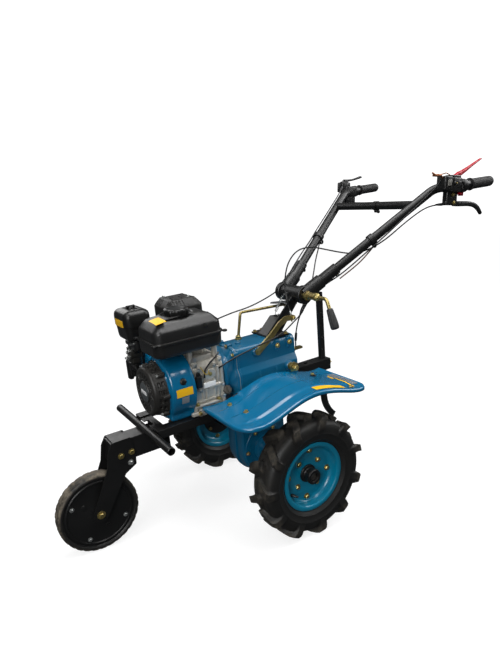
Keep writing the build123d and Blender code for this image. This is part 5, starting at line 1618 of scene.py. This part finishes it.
washers = both(lathe([(0, 78), (15, 78), (16, 76.5), (16, 71), (15, 70), (0, 70)], 32))
nut = bolt(13, 12, 0).aim((0, -78, 0), RIGHT)
shank = lathe([(0, 84), (7.9, 84), (7.9, -92), (0, -92)], 32)
piece(
    "clamp_bolt", joined((washers, nut, shank)).at(PIVOT_X, 0, PIVOT_Z), GOLD, "zinc",
    place=standing, stands_for="pivot_bolt", crease=TURNED_CREASE,
)
sleeve_face = [
    (0, 78.5), (17, 78.5), (18, 80), (18, 84), (13.5, 86), (12.5, 90), (11.8, 118), (14, 122),
    (14.6, 128), (13, 134), (8, 138), (6, 140), (0, 140),
]
hand = np.array((0, 32.0, -62.0))
hand_from = np.array((PIVOT_X, 196.0, 507.0))
crank_line = [
    (PIVOT_X, 126, PIVOT_Z), hand_from - hand * 37 / np.linalg.norm(hand), hand_from + hand * 0.05,
]
crank = lathe(sleeve_face, 40).at(PIVOT_X, 0, PIVOT_Z) + rod(crank_line, 20, 6.5, 24, 14)
on_handlebar("lock_crank_bar", crank, GOLD, "zinc", stands_for="lock_crank", crease=35)
hand_length = float(np.linalg.norm(hand))
hand_face = [
    (0, -2), (9, -2), (11, 0), (11.5, 6), (12, 14), (14, 40), (14.4, hand_length - 8),
    (13, hand_length - 2), (9, hand_length), (0, hand_length),
]


def flutes(radius, turn):
    """Twelve flutes round the crank's grip."""
    return radius * (1 + 0.05 * np.sin(12 * turn) * (radius > 11.2))


hand_form = lathe(hand_face, 96, wave=flutes).aim(hand_from, hand)
on_handlebar(
    "crank_grip_fluted", hand_form, GRIP, "grip_rubber", stands_for="crank_grip",
    crease=SOFT_CREASE,
)

# Cables held between the handlebar and the machine

ROUTES = {
    "throttle_cable": [
        (-616.2, -246, 928), (-588, -232, 901), (-545, -215, 867), (-499, -198, 829),
        (-452, -179, 793), (-405, -161, 756), (-358, -142, 715), (-309, -127, 677),
        (-262, -116, 632), (-214, -106, 580), (-164, -92, 539), (-112, -80, 521), (-55, -66, 506),
        (5, -52, 494), (62, -44, 487), (104, -34, 481), (144, -28, 473), (193, -26.5, 458),
        (240, -26.5, 434), (283, -27, 408), (313.6, -27, 392.2), (349.3, -27, 388),
    ],
    "clutch_cable": [
        (-639.7, 259, 850), (-606, 250, 848), (-571, 233, 837), (-534, 214, 809), (-489, 196, 772),
        (-448, 169, 728), (-404, 137, 694), (-357, 104, 677), (-310, 78, 684), (-264, 53, 695),
        (-214, 33, 706), (-165, 18, 696), (-130, 13, 658), (-111, 18, 609), (-102, 30, 560),
        (-101, 46, 518), (-105.7, 63, 473.5),
    ],
    "reverse_cable": [
        (-639.7, -259, 853), (-606, -247, 852), (-569, -229, 837), (-532, -214, 803),
        (-485, -195, 768), (-443, -172, 731), (-404, -140, 702), (-366, -104, 677),
        (-324, -68, 645), (-285, -32, 600), (-249, -2, 557), (-214, 22, 522), (-184, 33, 488),
        (-164, 35, 455), (-155, 33, 420), (-153, 29, 382), (-159, 24, 341.8),
    ],
    "stop_wire": [
        (-601.8, 270, 937), (-585, 275, 921), (-574, 264, 899), (-560, 245, 875), (-535, 228, 845),
        (-495, 207, 803), (-450, 186, 758), (-405, 163, 713), (-376, 142, 681), (-340, 119, 642),
        (-301, 94, 603), (-260, 69, 573), (-226, 52, 544), (-198, 45, 513), (-175, 44, 483),
        (-152, 49, 461), (-122, 61, 450), (-90, 76, 439), (-58, 86, 424), (-14, 90, 408),
        (36, 88.5, 396), (84, 88, 381), (134, 90, 370), (174, 89.5, 354), (207.3, 86.8, 339),
    ],
}


CABLE_RADIUS = 2.5


def spline_line(name, points):
    """Points read from the NURBS spline whose control points are a route."""
    data = bpy.data.curves.new(name, "CURVE")
    data.dimensions = "3D"
    data.resolution_u = 8
    spline = data.splines.new("NURBS")
    spline.points.add(len(points) - 1)
    spline.points.foreach_set("co", np.column_stack((points, np.ones(len(points)))).ravel())
    spline.order_u = 3
    spline.use_endpoint_u = True
    guide = bpy.data.objects.new(name, data)
    bpy.context.scene.collection.objects.link(guide)
    mesh = bpy.data.meshes.new_from_object(guide)
    line = np.array([v.co for v in mesh.vertices])
    bpy.data.objects.remove(guide)
    bpy.data.meshes.remove(mesh)
    return line


def held_cable(name, points):
    """Sheathed cable along its route, built in place where the machine stands."""
    line = spline_line(f"{name}_line", np.array(points, float))
    shape = build(f"{name}_sheath", tube(line, CABLE_RADIUS, 14), CABLE, standing)
    standing((-110, 0, 520))
    standing((-330, 0, 690))
    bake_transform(shape)
    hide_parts(name)


for name, points in ROUTES.items():
    held_cable(name, points)


def boot(start, end, radii):
    """Moulded boot or adjuster turned along a line, from (share, radius) pairs."""
    start, end = np.asarray(start, float), np.asarray(end, float)
    path = [start + (end - start) * share for share, _ in radii]
    return tube(path, [radius for _, radius in radii], 20)


taper = [(0, 2.4), (0.02, 4.2), (0.3, 5.4), (0.6, 4.6), (1, 2.8)]
boots = both(boot((-641, 259, 850), (-606, 250, 848), taper))
boots = boots + boot((-618, -246, 930), (-600, -238, 912), taper)
on_handlebar("cable_boots", boots, GRIP, "grip_rubber", crease=SOFT_CREASE)
adjusters = joined((
    boot(
        (-102.4, 35, 550), (-101.6, 50, 508),
        [(0, 3), (0.05, 6.5), (0.5, 6.5), (0.9, 4.6), (1, 3)],
    ),
    boot((-154.4, 30.6, 398), (-155.4, 27, 366), [(0, 3), (0.05, 4.6), (0.9, 4.6), (1, 3)]),
    boot(
        (-184, 33, 489), (-168, 34.6, 462), [(0, 3), (0.06, 6.6), (0.5, 6.2), (0.95, 3.6), (1, 3)],
    ),
    boot((-200, 27.6, 506), (-193, 30.4, 499), [(0, 3), (0.1, 5.4), (0.9, 5.4), (1, 3)]),
))
piece("cable_adjusters", adjusters, PLASTIC, "black_plastic", place=standing, crease=40)
nuts = joined((
    boot((-191.6, 30.8, 497), (-188.6, 31.8, 493.4), [(0, 3), (0.05, 7.4), (0.95, 7.4), (1, 3)]),
    boot((-187.4, 32.2, 492.2), (-184.6, 33, 489), [(0, 3), (0.05, 6.8), (0.95, 6.8), (1, 3)]),
    boot((-105.6, 62.6, 474), (-104.6, 57, 488), [(0, 3), (0.1, 4), (0.9, 4), (1, 3)]),
))
piece("cable_nuts", nuts, ZINC, "zinc", place=standing, crease=CAST_CREASE)
strand_route = [eye_place + (4, 2, -2), (-372, 146, 668), (-334, 132, 632), (-285, 112, 594)]
strand = tube(spline_line("strand", np.array(strand_route)), 2.4, 10)
on_handlebar("brown_strand", strand, BROWN_WIRE, "cable")

# Floor, light and camera


def set_camera():
    """Camera at the photograph's place and lens, for a frame of 500 by 667."""
    azimuth, elevation, roll = math.radians(146.57), math.radians(12.97), math.radians(-0.4)
    level = math.cos(elevation)
    back = Vector((math.sin(azimuth) * level, -math.cos(azimuth) * level, math.sin(elevation)))
    right = Vector((math.cos(azimuth), math.sin(azimuth), 0))
    over = back.cross(right)
    across = right * math.cos(roll) + over * math.sin(roll)
    right, over = across, over * math.cos(roll) - right * math.sin(roll)
    data = bpy.data.cameras.new("camera")
    data.sensor_fit = "VERTICAL"
    data.sensor_height = 36.0
    data.lens = 28.25
    data.clip_end = 200
    camera = bpy.data.objects.new("camera", data)
    bpy.context.scene.collection.objects.link(camera)
    matrix = Matrix((right, over, back)).transposed().to_4x4()
    matrix.translation = (1.0831, 1.4899, 1.0272)
    camera.matrix_world = matrix
    bpy.context.scene.camera = camera


def panel(name, place, target, size, power):
    """Soft rectangular light aimed at a place."""
    data = bpy.data.lights.new(name, "AREA")
    data.shape = "RECTANGLE"
    data.size, data.size_y = size
    data.energy = power
    light = bpy.data.objects.new(name, data)
    bpy.context.scene.collection.objects.link(light)
    light.location = place
    light.rotation_euler = (Vector(target) - Vector(place)).to_track_quat("-Z", "Y").to_euler()


def set_stage():
    """Pale floor, a white backdrop that only the camera sees, and soft studio light."""
    turn, dome_radius = full_turn(96), 29
    rows = [np.stack((r * np.cos(turn), r * np.sin(turn), 0 * turn), -1) for r in (0.02, 2, 8, 30)]
    pale = Finish("pale_floor", roughness=0.9, specular_ior_level=0.1, emission_strength=1.0)
    tone = pale.mix(pale.noise(3.0, 4.0), (0.30, 0.30, 0.30), (0.32, 0.32, 0.32))
    x, y = pale.axis("X"), pale.axis("Y")
    far = (x * x + y * y).math("SQRT").between(1.2, 5.0)
    pale.set(base_color=tone, emission_color=pale.mix(far, (0.8, 0.8, 0.8), (1.0, 1.0, 1.0)))
    floor = build("floor", skin(rows, caps=(True, False)), pale.material, np.asarray)
    rows = []
    for rise in np.radians((-4, 5, 20, 40, 60, 80, 89.9)):
        radius, height = dome_radius * math.cos(rise), dome_radius * math.sin(rise)
        rows.append(
            np.stack((radius * np.cos(turn), radius * np.sin(turn), 0 * turn + height), -1)
        )
    white = Finish(
        "white_backdrop", base_color=(0, 0, 0, 1), emission_color=(1, 1, 1, 1),
        emission_strength=1.2,
    )
    dome = build("backdrop", skin(rows, caps=(False, True)), white.material, np.asarray)
    for part in (floor, dome):
        part.visible_diffuse = part.visible_glossy = part.visible_transmission = False
    dome.visible_shadow = False
    world = bpy.data.worlds.new("studio")
    bpy.context.scene.world = world
    world.use_nodes = True
    tree = world.node_tree
    sky = tree.nodes["Background"]
    sky.inputs["Color"].default_value = (0.9, 0.95, 1.0, 1.0)
    sky.inputs["Strength"].default_value = 0.07
    for i, x in enumerate((-1.5, 0.0, 1.5)):
        panel(f"skylight_{i}", (x, 0.5, 3.0), (x * 0.3, 0.1, 0.4), (0.6, 3.2), 37)
    panel("front_left", (2.6, 2.2, 1.7), (0, 0, 0.5), (1.0, 1.6), 52)
    panel("rear", (-2.6, 1.0, 2.2), (0, 0, 0.6), (1.4, 1.0), 26)
    panel("right", (0.4, -3.0, 2.0), (0, 0, 0.5), (1.8, 1.2), 22)
    view = bpy.context.scene.view_settings
    view.view_transform = "Standard"
    view.exposure = 0.0


set_camera()
set_stage()
